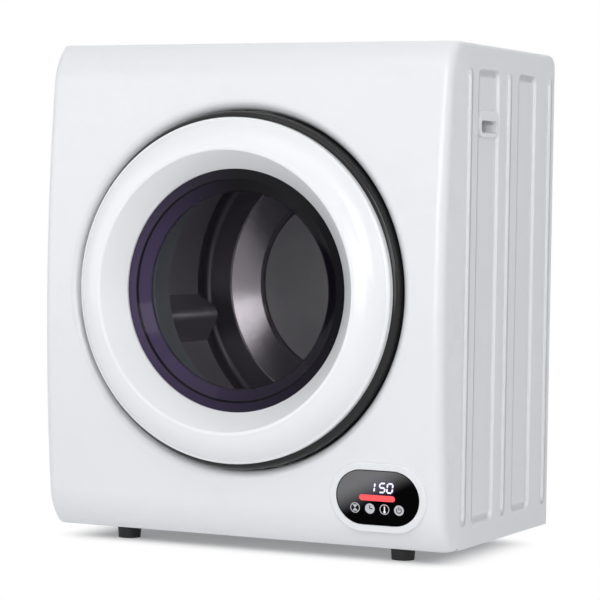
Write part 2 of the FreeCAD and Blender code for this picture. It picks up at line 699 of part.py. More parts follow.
def rear_panel():
    """Steel back sheet with a raised middle, and holes for inlet, exhaust and mains gland."""
    half = HALF_WIDTH - REAR_PANEL_MARGIN
    sheet = block(-half, half, BODY_DEPTH, REAR_FACE_Y, FOOT_HEIGHT + REAR_PANEL_MARGIN,
                  BODY_TOP - TOP_BACK_RADIUS)
    u = REAR_PRESSING_WIDTH / 2
    v0 = DOOR_AXIS_HEIGHT - REAR_PRESSING_HEIGHT / 2
    v1 = DOOR_AXIS_HEIGHT + REAR_PRESSING_HEIGHT / 2
    crown = tapered_pressing(back_plane, REAR_FACE_Y, -u, u, v0, v1, 3 * PRESSING_CORNER,
                             REAR_PRESSING_RISE, PRESSING_SLOPE)
    hollow = tapered_pressing(back_plane, BODY_DEPTH, SHEET / 2 - u, u - SHEET / 2, v0 + SHEET / 2,
                              v1 - SHEET / 2, 3 * PRESSING_CORNER, REAR_PRESSING_RISE, PRESSING_SLOPE)
    sheet = sheet.fuse(crown).cut(hollow)
    sheet = sheet.cut(disc(SPIGOT_RADIUS + RUNNING_GAP, 0, FAR, *spigot_centre()))
    gx, gz = grille_centre()
    w = GRILLE_WIDTH / 2 - GRILLE_OVERLAP
    h = GRILLE_HEIGHT / 2 - GRILLE_OVERLAP
    sheet = sheet.cut(block(gx - w, gx + w, 0, FAR, gz - h, gz + h))
    sheet = sheet.cut(disc(GLAND_RADIUS + SHAFT_FIT, 0, FAR, GLAND_X, GLAND_HEIGHT))
    for x, z in rear_screw_places():
        sheet = sheet.cut(screw_hole_y(x, BODY_DEPTH, z))
    return sheet


def rear_panel_screws():
    """Pan-head screws that hold the rear panel."""
    return Part.makeCompound([screw_y(x, REAR_FACE_Y, z, -1) for x, z in rear_screw_places()])


def grille_centre():
    """Air inlet on the rear panel, straight behind the hot air duct."""
    x0, x1, z0, z1 = duct_span(0.0)
    return (x0 + x1) / 2, (z0 + z1) / 2


def rear_inlet_grille():
    """Moulded slatted inlet cover on the rear panel."""
    gx, gz = grille_centre()
    wire = rounded_frame(REAR_FACE_Y, gx - GRILLE_WIDTH / 2, gx + GRILLE_WIDTH / 2, gz - GRILLE_HEIGHT / 2,
                         gz + GRILLE_HEIGHT / 2, GRILLE_OVERLAP, back_plane)
    plate = Part.Face(wire).extrude(V(0, GRILLE_THICKNESS, 0))
    w = GRILLE_WIDTH / 2 - 2 * GRILLE_OVERLAP
    h = GRILLE_HEIGHT / 2 - 2 * GRILLE_OVERLAP
    pitch = (2 * h + GRILLE_SLAT) / GRILLE_SLATS
    for i in range(GRILLE_SLATS):
        z = gz - h + i * pitch
        plate = plate.cut(block(gx - w, gx + w, 0, FAR, z, z + pitch - GRILLE_SLAT))
    return plate


def cord_gland():
    """Mains inlet bush in the rear panel, empty."""
    bush = disc(GLAND_RADIUS, REAR_FACE_Y - GLAND_REACH, REAR_FACE_Y, GLAND_X, GLAND_HEIGHT)
    flange = disc(GLAND_FLANGE_RADIUS, REAR_FACE_Y, REAR_FACE_Y + GLAND_FLANGE, GLAND_X, GLAND_HEIGHT)
    return bush.fuse(flange).cut(disc(GLAND_BORE, 0, FAR, GLAND_X, GLAND_HEIGHT))


def door_ring():
    """White moulded door ring: sloping face up to a ridge, then a bevel down to the window."""
    w = RING_WALL
    slope_mid = ((RING_OUTER_RADIUS + RIDGE_RADIUS) / 2 + 2, (RING_EDGE_Y + RIDGE_Y) / 2 - 3)
    bevel_mid = ((RIDGE_RADIUS + WINDOW_RIM_RADIUS) / 2 - 1, (RIDGE_Y + WINDOW_RIM_Y) / 2 - 1)
    steps = [
        (RING_OUTER_RADIUS, RING_EDGE_Y + RING_SKIRT),
        (RING_OUTER_RADIUS, RING_EDGE_Y + w / 2),
        ((RING_OUTER_RADIUS - w / 4, RING_EDGE_Y), (RING_OUTER_RADIUS - w, RING_EDGE_Y - w / 2)),
        (slope_mid, (RIDGE_RADIUS + w, RIDGE_Y + w / 4)),
        ((RIDGE_RADIUS, RIDGE_Y), (RIDGE_RADIUS - w, RIDGE_Y + w / 4)),
        (bevel_mid, (WINDOW_RIM_RADIUS, WINDOW_RIM_Y)),
        (WINDOW_RIM_RADIUS, WINDOW_RIM_Y + w),
        (WINDOW_RIM_RADIUS + w, WINDOW_RIM_Y + w),
        ((bevel_mid[0] + w, bevel_mid[1] + w / 2), (RIDGE_RADIUS - w, RIDGE_Y + 2 * w)),
        ((RIDGE_RADIUS, RIDGE_Y + 2 * w - w / 4), (RIDGE_RADIUS + w, RIDGE_Y + 2 * w)),
        ((slope_mid[0] - w / 2, slope_mid[1] + w), (RING_OUTER_RADIUS - w, RING_EDGE_Y + w)),
        (RING_OUTER_RADIUS - w, RING_EDGE_Y + RING_SKIRT),
    ]
    front_line = steps[1:6]
    behind = turned(front_line + [(WINDOW_RIM_RADIUS, 0.0), (RING_OUTER_RADIUS, 0.0)])
    posts = [disc(POST_RADIUS, RIDGE_Y, LINER_BACK_Y - LINER_WALL, x, z).common(behind)
             for x, z in liner_screw_places()]
    ring = turned(steps).fuse(posts)
    for x, z in liner_screw_places():
        ring = ring.cut(screw_hole_y(x, LINER_BACK_Y, z))
    return ring.cut(hinge_notch(RING_EDGE_Y + w - RUNNING_GAP))


def hinge_inner_x():
    """Right-hand side of the hinge's room behind the door's rim."""
    return HINGE_X + KNUCKLE_RADIUS + HINGE_ROOM


def seal_clear_x():
    """How far the hinge's plates reach towards the seal."""
    return -SEAL_RADIUS - SEAL_WIDTH / 2 - SEAL_ROOM


def ear_levels(grow):
    """Bottom and top of the lower and of the upper hinge ear, grown by `grow`."""
    inner = KNUCKLE_LENGTH / 2 + RUNNING_GAP - grow
    outer = KNUCKLE_LENGTH / 2 + RUNNING_GAP + EAR_THICKNESS + grow
    return [(DOOR_AXIS_HEIGHT - outer, DOOR_AXIS_HEIGHT - inner),
            (DOOR_AXIS_HEIGHT + inner, DOOR_AXIS_HEIGHT + outer)]


def hinge_notch(front_y):
    """Room behind the door's rim for the hinge knuckle and for the fixed ears as the door swings."""
    lower, upper = ear_levels(HINGE_ROOM)
    return block(-FAR, hinge_inner_x(), front_y, 0, lower[0], upper[1])


def door_trim_ring():
    """Smoked chrome ring behind the white ring, with a rounded shoulder."""
    front = RING_EDGE_Y + RING_SKIRT
    inner = RING_OUTER_RADIUS - RING_WALL
    shoulder = TRIM_RADIUS - RING_OUTER_RADIUS
    k = shoulder * (1 - math.sqrt(0.5))
    steps = [
        (inner, front), (RING_OUTER_RADIUS, front),
        ((TRIM_RADIUS - k, front + k), (TRIM_RADIUS, front + shoulder)),
        (TRIM_RADIUS, TRIM_BACK_Y), (TRIM_RADIUS - RING_WALL, TRIM_BACK_Y),
        (TRIM_RADIUS - RING_WALL, front + shoulder + RING_WALL), (inner, front + RING_WALL),
    ]
    return turned(steps).cut(hinge_notch(RING_EDGE_Y))


def dish(radius, rim_y, sag):
    """Arc step from a rim to the middle of a shallow spherical dish."""
    sphere = (radius ** 2 + sag ** 2) / (2 * sag)
    halfway = math.asin(radius / sphere) / 2
    centre_y = rim_y + sag
    return ((sphere * math.sin(halfway), centre_y - sphere * (1 - math.cos(halfway))), (0.0, centre_y))


def dish_out(radius, rim_y, sag):
    """The same arc from the middle of the dish out to its rim."""
    middle = dish(radius, rim_y, sag)[0]
    return (middle, (radius, rim_y))


def window_flange_radius():
    """Outer radius of the window's clamped flange."""
    return WINDOW_RIM_RADIUS + WINDOW_FLANGE_WIDTH


def door_window():
    """Tinted dished window: clamped flange, sloping wall and a slightly hollow pane."""
    w = WINDOW_WALL
    front = WINDOW_RIM_Y + RING_WALL
    steps = [
        (window_flange_radius(), front), (WINDOW_CONE_START, front),
        (PANE_RADIUS, PANE_Y), dish(PANE_RADIUS, PANE_Y, PANE_DISH),
        (0.0, PANE_Y + PANE_DISH + w), dish_out(PANE_RADIUS + w / 2, PANE_Y + w, PANE_DISH),
        (WINDOW_CONE_START + w / 2, front + w), (window_flange_radius(), front + w),
    ]
    return turned(steps)


def door_liner():
    """Inner door frame: back plate, clamp sleeve for the window and an outer skirt inside the trim."""
    w = LINER_WALL
    clamp = WINDOW_RIM_Y + RING_WALL + WINDOW_WALL
    inner = window_flange_radius() - w
    outer = TRIM_RADIUS - RING_WALL - RUNNING_GAP
    front = RING_EDGE_Y + RING_SKIRT + TRIM_RADIUS - RING_OUTER_RADIUS + 2 * RING_WALL
    steps = [
        (inner, clamp), (inner + w, clamp), (inner + w, LINER_BACK_Y - w), (outer - w, LINER_BACK_Y - w),
        (outer - w, front), (outer, front), (outer, LINER_BACK_Y), (inner, LINER_BACK_Y),
    ]
    liner = turned(steps).cut(hinge_notch(RING_EDGE_Y))
    for x, z in liner_screw_places() + leaf_screw_places():
        liner = liner.cut(screw_hole_y(x, LINER_BACK_Y, z, SCREW_LENGTH / 2))
    return liner


def liner_screw_places():
    """Six screws round the back of the door."""
    radius = (window_flange_radius() + SEAL_RADIUS - SEAL_WIDTH / 2) / 2
    places = []
    for i in range(6):
        angle = math.radians(30 + 60 * i)
        places.append((radius * math.cos(angle), DOOR_AXIS_HEIGHT + radius * math.sin(angle)))
    return places


def leaf_screw_places():
    """Two screws through the hinge leaf's pad into the door's liner."""
    x = (hinge_inner_x() + seal_clear_x()) / 2
    return [(x, DOOR_AXIS_HEIGHT + side * KNUCKLE_LENGTH / 4) for side in (-1, 1)]


def door_screws():
    """Screws on the back of the door: liner to the ring's posts, hinge leaf to the liner."""
    leaf_back = LINER_BACK_Y + BRACKET_THICKNESS
    screws = [screw_y(x, LINER_BACK_Y, z, -1) for x, z in liner_screw_places()]
    screws += [screw_y(x, leaf_back, z, -1) for x, z in leaf_screw_places()]
    return Part.makeCompound(screws)


def door_seal():
    """Soft lip seal on the back of the door, against the floor of the well."""
    inner = SEAL_RADIUS - SEAL_WIDTH / 2
    outer = SEAL_RADIUS + SEAL_WIDTH / 2
    end = WELL_FLOOR_Y - RUNNING_GAP
    steps = [
        (inner, LINER_BACK_Y), (outer, LINER_BACK_Y), (outer - 1, end - SEAL_WIDTH / 2),
        ((SEAL_RADIUS, end), (inner + 1, end - SEAL_WIDTH / 2)),
    ]
    return turned(steps)


def hinge_cylinder(radius, z0, z1):
    """Upright cylinder on the hinge axis."""
    return Part.makeCylinder(radius, z1 - z0, V(HINGE_X, HINGE_Y, z0), Z_AXIS)


def door_hinge_leaf():
    """Door half of the hinge: knuckle and an arm to the back of the liner."""
    z0 = DOOR_AXIS_HEIGHT - KNUCKLE_LENGTH / 2
    z1 = DOOR_AXIS_HEIGHT + KNUCKLE_LENGTH / 2
    knuckle = hinge_cylinder(KNUCKLE_RADIUS, z0, z1)
    back = LINER_BACK_Y + BRACKET_THICKNESS
    arm = block(HINGE_X, HINGE_X + KNUCKLE_RADIUS, HINGE_Y, back, z0, z1)
    pad = block(HINGE_X, seal_clear_x(), LINER_BACK_Y, back, z0, z1)
    leaf = knuckle.fuse(arm).fuse(pad).cut(hinge_cylinder(PIN_RADIUS + SHAFT_FIT, z0 - 1, z1 + 1))
    for x, z in leaf_screw_places():
        leaf = leaf.cut(screw_hole_y(x, LINER_BACK_Y, z))
    return leaf


def door_hinge_bracket():
    """Fixed half of the hinge: two ears on a plate screwed to the floor of the well."""
    back = WELL_FLOOR_Y - BRACKET_THICKNESS
    lower, upper = ear_levels(0.0)
    bracket = block(HINGE_X - EAR_WIDTH / 2, seal_clear_x(), back, WELL_FLOOR_Y, lower[0], upper[1])
    for z0, z1 in (lower, upper):
        ear = block(HINGE_X - EAR_WIDTH / 2, HINGE_X + EAR_WIDTH / 2, HINGE_Y, back + 1, z0, z1)
        bracket = bracket.fuse(ear).fuse(hinge_cylinder(EAR_WIDTH / 2, z0, z1))
    bracket = bracket.cut(hinge_cylinder(PIN_RADIUS + PRESS_FIT, 0, FAR))
    for x, z in hinge_screw_places():
        bracket = bracket.cut(screw_hole_y(x, WELL_FLOOR_Y, z))
    return bracket


def hinge_screw_places():
    """Two screws through the hinge plate into the front panel."""
    x = (hinge_inner_x() + seal_clear_x()) / 2
    return [(x, DOOR_AXIS_HEIGHT + side * KNUCKLE_LENGTH / 4) for side in (-1, 1)]


def hinge_screws():
    """Screws of the hinge bracket."""
    seat = WELL_FLOOR_Y - BRACKET_THICKNESS
    return Part.makeCompound([screw_y(x, seat, z, 1) for x, z in hinge_screw_places()])


def door_hinge_pin():
    """Steel hinge pin through ears and knuckle."""
    lower, upper = ear_levels(0.0)
    return hinge_cylinder(PIN_RADIUS, lower[0], upper[1])


def strike_tip_y():
    """How deep the door's strike reaches into the catch."""
    return LINER_BACK_Y + STRIKE_REACH


def door_strike():
    """Nose on the back of the door that the catch grips, with a waist behind its head."""
    half = STRIKE_THICKNESS / 2
    tip = strike_tip_y()
    waist = STRIKE_THICKNESS / 5
    steps = [
        (-half, LINER_BACK_Y), (half, LINER_BACK_Y), (half - waist, tip - 2 * STRIKE_THICKNESS),
        (half, tip - STRIKE_THICKNESS), (half - waist, tip), (waist - half, tip),
        (-half, tip - STRIKE_THICKNESS), (waist - half, tip - 2 * STRIKE_THICKNESS),
    ]
    z0 = DOOR_AXIS_HEIGHT - STRIKE_HEIGHT / 2
    face = closed_face(steps, lambda p: V(STRIKE_X + p[0], p[1], z0))
    return face.extrude(V(0, 0, STRIKE_HEIGHT))


def catch_span(grow):
    """X and Z limits of the catch's inner space, grown all round."""
    x0 = STRIKE_X - STRIKE_THICKNESS / 2 - STRIKE_CLEARANCE
    x1 = STRIKE_X + STRIKE_THICKNESS / 2 + STRIKE_SLOT_ROOM
    half = STRIKE_HEIGHT / 2 + STRIKE_CLEARANCE
    return x0 - grow, x1 + grow, DOOR_AXIS_HEIGHT - half - grow, DOOR_AXIS_HEIGHT + half + grow


def latch_catch():
    """Catch housing behind the floor of the well, open to the strike and to the switch plunger."""
    front = WELL_FLOOR_Y + PANEL_WALL
    x0, x1, z0, z1 = catch_span(CATCH_WALL)
    case = block(x0, x1, front, front + CATCH_DEPTH, z0, z1)
    x0, x1, z0, z1 = catch_span(0.0)
    case = case.cut(block(x0, x1, 0, front + CATCH_DEPTH - CATCH_WALL, z0, z1))
    return case.cut(disc(PLUNGER_RADIUS + SHAFT_FIT, 0, FAR, STRIKE_X, DOOR_AXIS_HEIGHT))


def switch_front_y():
    """Front of the door switch, against the back of the catch."""
    return WELL_FLOOR_Y + PANEL_WALL + CATCH_DEPTH


def plunger_tip_y():
    """Plunger tip, just behind the strike of the closed door."""
    return strike_tip_y() + RUNNING_GAP


def plunger_end_y():
    """Inner end of the plunger, inside the switch."""
    return switch_front_y() + PLUNGER_LENGTH


def door_switch():
    """Door switch case with a guide bore for its plunger."""
    front = switch_front_y()
    x0, x1, z0, z1 = catch_span(0.0)
    case = block(x0, x1, front, front + 2 * PLUNGER_LENGTH, z0, z1)
    bore = disc(PLUNGER_RADIUS + SHAFT_FIT, front - 1, plunger_end_y() + PLUNGER_LENGTH / 2, STRIKE_X)
    return case.cut(bore)


def door_switch_plunger():
    """Sprung pin that the strike presses."""
    return disc(PLUNGER_RADIUS, plunger_tip_y(), plunger_end_y(), STRIKE_X)


def front_air_ring():
    """Fixed guide behind the porthole: seat flange, sleeve with hot air slots, collar and plenum."""
    w = GUIDE_WALL
    seat = WELL_FLOOR_Y + PANEL_WALL
    steps = [
        (SLEEVE_RADIUS, seat), (PLENUM_RADIUS, seat), (PLENUM_RADIUS, PLENUM_BACK_Y),
        (SLEEVE_RADIUS - w, PLENUM_BACK_Y), (COLLAR_RADIUS + w, PLENUM_BACK_Y + w),
        (COLLAR_RADIUS + w, COLLAR_END_Y), (COLLAR_RADIUS, COLLAR_END_Y),
        (COLLAR_RADIUS, PLENUM_BACK_Y - w), (SLEEVE_RADIUS, PLENUM_BACK_Y - 5 * w),
    ]
    ring = turned(steps)
    ring = ring.cut(sleeve(SLEEVE_RADIUS + w, PLENUM_RADIUS - w, seat + w, PLENUM_BACK_Y - w))
    slot = block(0, SLEEVE_RADIUS + 2 * w, seat + 2 * w, PLENUM_BACK_Y - 6 * w,
                 DOOR_AXIS_HEIGHT - HOT_SLOT_WIDTH / 2, DOOR_AXIS_HEIGHT + HOT_SLOT_WIDTH / 2)
    slots = []
    for i in range(HOT_SLOTS):
        cut = slot.copy()
        cut.rotate(V(0, 0, DOOR_AXIS_HEIGHT), Y_AXIS, (i + 0.5) * 360 / HOT_SLOTS)
        slots.append(cut)
    ring = ring.cut(Part.makeCompound(slots))
    ring = ring.cut(chute(0.0, DUCT_WALL))
    for x, z in hinge_screw_places():
        ring = ring.cut(screw_hole_y(x, WELL_FLOOR_Y, z))
    x0, x1, z0, z1 = catch_span(CATCH_WALL + RUNNING_GAP)
    return ring.cut(block(x0, x1, 0, FAR, z0, z1))


def front_felt_ring():
    """Felt slide ring on the collar that carries the drum's mouth."""
    y0 = PLENUM_BACK_Y + 2 * GUIDE_WALL
    outer = DRUM_MOUTH_RADIUS - DRUM_SHEET - RUNNING_GAP
    return sleeve(COLLAR_RADIUS + GUIDE_WALL, outer, y0, y0 + FELT_WIDTH)


def drum_shell():
    """Rolled drum barrel with a turned-in mouth and two beads beside the belt track."""
    r = DRUM_RADIUS
    k = DRUM_CORNER * (1 - math.sqrt(0.5))
    half_track = TRACK_WIDTH / 2
    steps = [
        (DRUM_MOUTH_RADIUS, DRUM_FRONT_Y + 5), (DRUM_MOUTH_RADIUS, DRUM_FRONT_Y),
        (r - DRUM_CORNER, DRUM_FRONT_Y), ((r - k, DRUM_FRONT_Y + k), (r, DRUM_FRONT_Y + DRUM_CORNER)),
    ]
    for y in (BELT_TRACK_Y - half_track - 2 * TRACK_BEAD, BELT_TRACK_Y + half_track):
        steps.append((r, y))
        steps.append(((r + TRACK_BEAD, y + TRACK_BEAD), (r, y + 2 * TRACK_BEAD)))
    steps.append((r, DRUM_BACK_Y - DRUM_CORNER / 2))
    return turned_sheet(steps, DRUM_SHEET)


def drum_back():
    """Pressed drum end: lapped rim, flat step, sloping pocket and a slotted floor for the air."""
    r = DRUM_RADIUS - DRUM_SHEET - PRESS_FIT
    k = DRUM_CORNER * (1 - math.sqrt(0.5))
    steps = [
        (r, DRUM_BACK_Y - DRUM_CORNER - SEAM_LAP), (r, DRUM_BACK_Y - DRUM_CORNER),
        ((r - k, DRUM_BACK_Y - k), (r - DRUM_CORNER, DRUM_BACK_Y)),
        (POCKET_RADIUS, DRUM_BACK_Y), (POCKET_FLOOR_RADIUS, POCKET_FLOOR_Y), (SHAFT_RADIUS, POCKET_FLOOR_Y),
    ]
    back = turned_sheet(steps, DRUM_SHEET)
    inner = SHAFT_FLANGE_RADIUS + FILTER_RIB
    outer = FILTER_RADIUS - 2 * FILTER_RIB
    port = sleeve(inner, outer, POCKET_FLOOR_Y - 1, POCKET_FLOOR_Y + 2)
    spoke = block(-FAR, FAR, 0, FAR, DOOR_AXIS_HEIGHT - FILTER_RIB, DOOR_AXIS_HEIGHT + FILTER_RIB)
    for i in range(FILTER_SPOKES // 4):
        bar = spoke.copy()
        bar.rotate(V(0, 0, DOOR_AXIS_HEIGHT), Y_AXIS, i * 720 / FILTER_SPOKES)
        port = port.cut(bar)
    return back.cut(port)


def lint_filter_cover():
    """Round grid clipped over the air ports in the drum's end."""
    front = POCKET_FLOOR_Y - FILTER_THICKNESS
    rim = [
        (0.0, front), (FILTER_RADIUS - FILTER_RIB, front),
        ((FILTER_RADIUS - FILTER_RIB / 3, front + FILTER_RIB / 3), (FILTER_RADIUS, front + FILTER_RIB)),
        (FILTER_RADIUS, POCKET_FLOOR_Y), (FILTER_RADIUS - FILTER_RIB, POCKET_FLOOR_Y),
        (FILTER_RADIUS - FILTER_RIB, front + FILTER_THICKNESS / 2),
        (FILTER_HUB_RADIUS, front + FILTER_THICKNESS / 2), (FILTER_HUB_RADIUS, POCKET_FLOOR_Y),
        (0.0, POCKET_FLOOR_Y),
    ]
    cover = turned(rim)
    step = (FILTER_RADIUS - FILTER_RIB - FILTER_HUB_RADIUS) / FILTER_RINGS
    ports = []
    for i in range(FILTER_RINGS):
        inner = FILTER_HUB_RADIUS + i * step + FILTER_RIB / 2
        ports.append(sleeve(inner, inner + step - FILTER_RIB, front - 1, front + FILTER_THICKNESS / 2 + 1))
    spoke = block(0, FAR, 0, FAR, DOOR_AXIS_HEIGHT - FILTER_RIB / 2, DOOR_AXIS_HEIGHT + FILTER_RIB / 2)
    spokes = []
    for i in range(FILTER_SPOKES):
        bar = spoke.copy()
        bar.rotate(V(0, 0, DOOR_AXIS_HEIGHT), Y_AXIS, i * 360 / FILTER_SPOKES)
        spokes.append(bar)
    return cover.cut(Part.makeCompound(ports).cut(Part.makeCompound(spokes)))


def drum_paddle(index):
    """Rounded lifter ridge along the inside of the drum."""
    y0 = DRUM_FRONT_Y + DRUM_CORNER + PADDLE_END_GAP
    y1 = DRUM_BACK_Y - DRUM_CORNER - SEAM_LAP - PADDLE_END_GAP / 4
    half = PADDLE_BASE / 2
    tip = PADDLE_TIP_RADIUS
    foot_level = math.sqrt((DRUM_RADIUS - PRESS_FIT) ** 2 - half ** 2)
    crest = DRUM_RADIUS - PADDLE_RISE
    steps = [
        (-half, foot_level), (-tip, crest + tip / 2), ((0.0, crest), (tip, crest + tip / 2)),
        (half, foot_level), ((0.0, DRUM_RADIUS - PRESS_FIT), (-half, foot_level)),
    ]
    wire = Part.Wire(outline(steps, lambda p: V(p[0], y0, DOOR_AXIS_HEIGHT - p[1])))
    ridge = Part.Face(wire).extrude(V(0, y1 - y0, 0))
    slope = PADDLE_RISE / 2
    for y, lean in ((y0, 1), (y1, -1)):
        steps = [(y, crest - 1), (y + lean * slope, crest - 1), (y, DRUM_RADIUS - tip)]
        wedge = closed_face(steps, lambda p: V(-FAR, p[0], DOOR_AXIS_HEIGHT - p[1])).extrude(V(2 * FAR, 0, 0))
        ridge = ridge.cut(wedge)
    ridge.rotate(V(0, 0, DOOR_AXIS_HEIGHT), Y_AXIS, PADDLE_TURN + index * 360 / PADDLE_COUNT)
    return ridge


def drum_shaft():
    """Stub axle with its flange behind the drum's end."""
    y0 = POCKET_FLOOR_Y + DRUM_SHEET
    flange = disc(SHAFT_FLANGE_RADIUS, y0, y0 + SHAFT_FLANGE_THICKNESS)
    return flange.fuse(disc(SHAFT_RADIUS, y0, SUPPORT_FRONT_Y - RUNNING_GAP))


def bearing_end_y():
    """Rear end of the drum's bearing bush."""
    return SUPPORT_FRONT_Y - RUNNING_GAP


def drum_bearing():
    """Plain bearing bush for the drum's axle."""
    end = bearing_end_y()
    return sleeve(SHAFT_RADIUS + SHAFT_FIT, BEARING_OUTER_RADIUS, end - BEARING_LENGTH, end)


def bearing_housing():
    """Flanged cup on the cross-member that holds the bush."""
    body = disc(HOUSING_RADIUS, bearing_end_y() - BEARING_LENGTH, SUPPORT_FRONT_Y)
    flange = disc(HOUSING_FLANGE_RADIUS, SUPPORT_FRONT_Y - HOUSING_FLANGE_THICKNESS, SUPPORT_FRONT_Y)
    return body.fuse(flange).cut(disc(BEARING_OUTER_RADIUS + PRESS_FIT, 0, SUPPORT_FRONT_Y))


def rear_support():
    """Cross-member between the rear flanges that carries the drum's bearing."""
    half = HALF_WIDTH - CORNER_RADIUS
    bar = block(-half, half, SUPPORT_FRONT_Y, BODY_DEPTH - SHEET, DOOR_AXIS_HEIGHT - SUPPORT_HEIGHT / 2,
                DOOR_AXIS_HEIGHT + SUPPORT_HEIGHT / 2)
    return bar.cut(disc(SHAFT_RADIUS, 0, FAR))


def rear_air_pan():
    """Duct pan behind the drum: round mouth at the filter, neck down to the fan's eye."""
    w = PAN_WALL
    back = SUPPORT_FRONT_Y
    neck_front = NECK_FRONT_Y
    drum_axis = (0.0, DOOR_AXIS_HEIGHT)
    fan_axis = (MOTOR_X, MOTOR_HEIGHT)
    neck = loop_face(drum_axis, PAN_NECK_RADIUS, fan_axis, PAN_FOOT_RADIUS, neck_front)
    space = loop_face(drum_axis, PAN_NECK_RADIUS - w, fan_axis, PAN_FOOT_RADIUS - w, neck_front + w)
    pan = disc(PAN_RADIUS, PAN_FRONT_Y, back).fuse(neck.extrude(V(0, PAN_NECK_DEPTH, 0)))
    pan = pan.cut(disc(PAN_RADIUS - w, 0, back - w)).cut(space.extrude(V(0, PAN_NECK_DEPTH - 2 * w, 0)))
    pan = pan.cut(disc(FAN_EYE_RADIUS, 0, neck_front + 2 * w, *fan_axis))
    return pan.cut(disc(HOUSING_FLANGE_RADIUS + RUNNING_GAP, 0, FAR))


def rear_felt_ring():
    """Felt wiper between the air pan and the drum's sloping pocket."""
    slope = (POCKET_RADIUS - POCKET_FLOOR_RADIUS) / POCKET_DEPTH
    inner = POCKET_RADIUS - slope * (PAN_FRONT_Y - DRUM_BACK_Y) + 2 * DRUM_SHEET * math.hypot(1, slope)
    return sleeve(inner, PAN_RADIUS - PAN_WALL, PAN_FRONT_Y, PAN_FRONT_Y + REAR_FELT_WIDTH)


def duct_span(grow):
    """X and Z limits of the hot air duct in the upper left corner, grown inwards by -grow."""
    x0 = DUCT_SIDE_GAP - HALF_WIDTH
    z1 = BODY_TOP - DUCT_TOP_GAP
    return x0 - grow, x0 + DUCT_WIDTH + grow, z1 - DUCT_HEIGHT - grow, z1 + grow


def chute(grow, end_grow):
    """Flat passage from the corner duct down to the plenum round the porthole."""
    half = CHUTE_WIDTH / 2 - DUCT_WALL + grow
    box = block(PLENUM_RADIUS - 2 * GUIDE_WALL + grow, CHUTE_END + grow,
                DUCT_FRONT_Y + DUCT_WALL - grow, PLENUM_BACK_Y - 2 * DUCT_WALL - end_grow + grow,
                DOOR_AXIS_HEIGHT - half, DOOR_AXIS_HEIGHT + half)
    box.rotate(V(0, 0, DOOR_AXIS_HEIGHT), Y_AXIS, -DUCT_ANGLE)
    return box


def hot_air_duct():
    """Sheet duct along the upper left corner with a chute to the front plenum."""
    x0, x1, z0, z1 = duct_span(0.0)
    outer = block(x0, x1, DUCT_FRONT_Y, BODY_DEPTH, z0, z1).fuse(chute(DUCT_WALL, DUCT_WALL))
    x0, x1, z0, z1 = duct_span(-DUCT_WALL)
    inner = block(x0, x1, DUCT_FRONT_Y + DUCT_WALL, FAR, z0, z1).fuse(chute(0.0, DUCT_WALL))
    duct = outer.cut(inner)
    return duct.cut(disc(PLENUM_RADIUS, 0, FAR))


def heater_element():
    """Finned heating block across the duct."""
    x0, x1, z0, z1 = duct_span(-DUCT_WALL)
    y1 = HEATER_Y + HEATER_LENGTH
    gap = 2 * HEATER_FIN
    plates = [block(x0 + gap, x1 - gap, HEATER_Y, y1, z, z + HEATER_FIN) for z in (z0, z1 - HEATER_FIN)]
    pitch = (x1 - x0 - 2 * gap - HEATER_FIN) / HEATER_FINS
    fins = [block(x0 + gap + i * pitch, x0 + gap + i * pitch + HEATER_FIN, HEATER_Y, y1, z0, z1)
            for i in range(HEATER_FINS + 1)]
    return plates[0].fuse(plates[1:] + fins)


def motor_body():
    """Motor case with a bell at each end and a running bore for the shaft."""
    y1 = MOTOR_FRONT_Y + MOTOR_LENGTH
    axis = (MOTOR_X, MOTOR_HEIGHT)
    case = disc(MOTOR_RADIUS, MOTOR_FRONT_Y + BELL_LENGTH, y1 - BELL_LENGTH, *axis)
    bells = disc(BELL_RADIUS, MOTOR_FRONT_Y, y1, *axis)
    return case.fuse(bells).cut(disc(MOTOR_SHAFT_RADIUS + SHAFT_FIT, 0, FAR, *axis))


def motor_cradle():
    """Steel cradle on the base pan: two saddles for the motor and a tab for the idler's pivot."""
    y1 = MOTOR_FRONT_Y + MOTOR_LENGTH
    tab_y = idler_arm_y() + IDLER_ARM_THICKNESS + RUNNING_GAP
    left = IDLER_PIVOT_X - IDLER_ARM_WIDTH
    plate = block(left, MOTOR_X + CRADLE_HALF_WIDTH, tab_y, y1, TRAY_TOP, TRAY_TOP + CRADLE_PLATE)
    saddle_gap = BELL_LENGTH + CRADLE_RIB
    for y in (MOTOR_FRONT_Y + saddle_gap, y1 - saddle_gap - CRADLE_RIB):
        plate = plate.fuse(block(MOTOR_X - CRADLE_HALF_WIDTH, MOTOR_X + CRADLE_HALF_WIDTH, y, y + CRADLE_RIB,
                                 TRAY_TOP, MOTOR_HEIGHT - MOTOR_RADIUS / 4))
    plate = plate.fuse(block(left, IDLER_PIVOT_X + IDLER_ARM_WIDTH, tab_y, tab_y + IDLER_ARM_THICKNESS,
                             TRAY_TOP, IDLER_PIVOT_HEIGHT + IDLER_ARM_WIDTH / 2))
    plate = plate.cut(disc(MOTOR_RADIUS + PRESS_FIT, 0, FAR, MOTOR_X, MOTOR_HEIGHT))
    return plate.cut(disc(IDLER_AXLE_RADIUS + PRESS_FIT, 0, FAR, IDLER_PIVOT_X, IDLER_PIVOT_HEIGHT))


def pulley_span():
    """Front and back of the belt pulley."""
    half = BELT_WIDTH / 2 + PULLEY_FLANGE + RUNNING_GAP
    return BELT_TRACK_Y - half, BELT_TRACK_Y + half


def motor_shaft():
    """Motor shaft that carries the belt pulley in front and the fan behind."""
    y0 = pulley_span()[0] - 2 * PULLEY_FLANGE
    return disc(MOTOR_SHAFT_RADIUS, y0, fan_span()[1], MOTOR_X, MOTOR_HEIGHT)


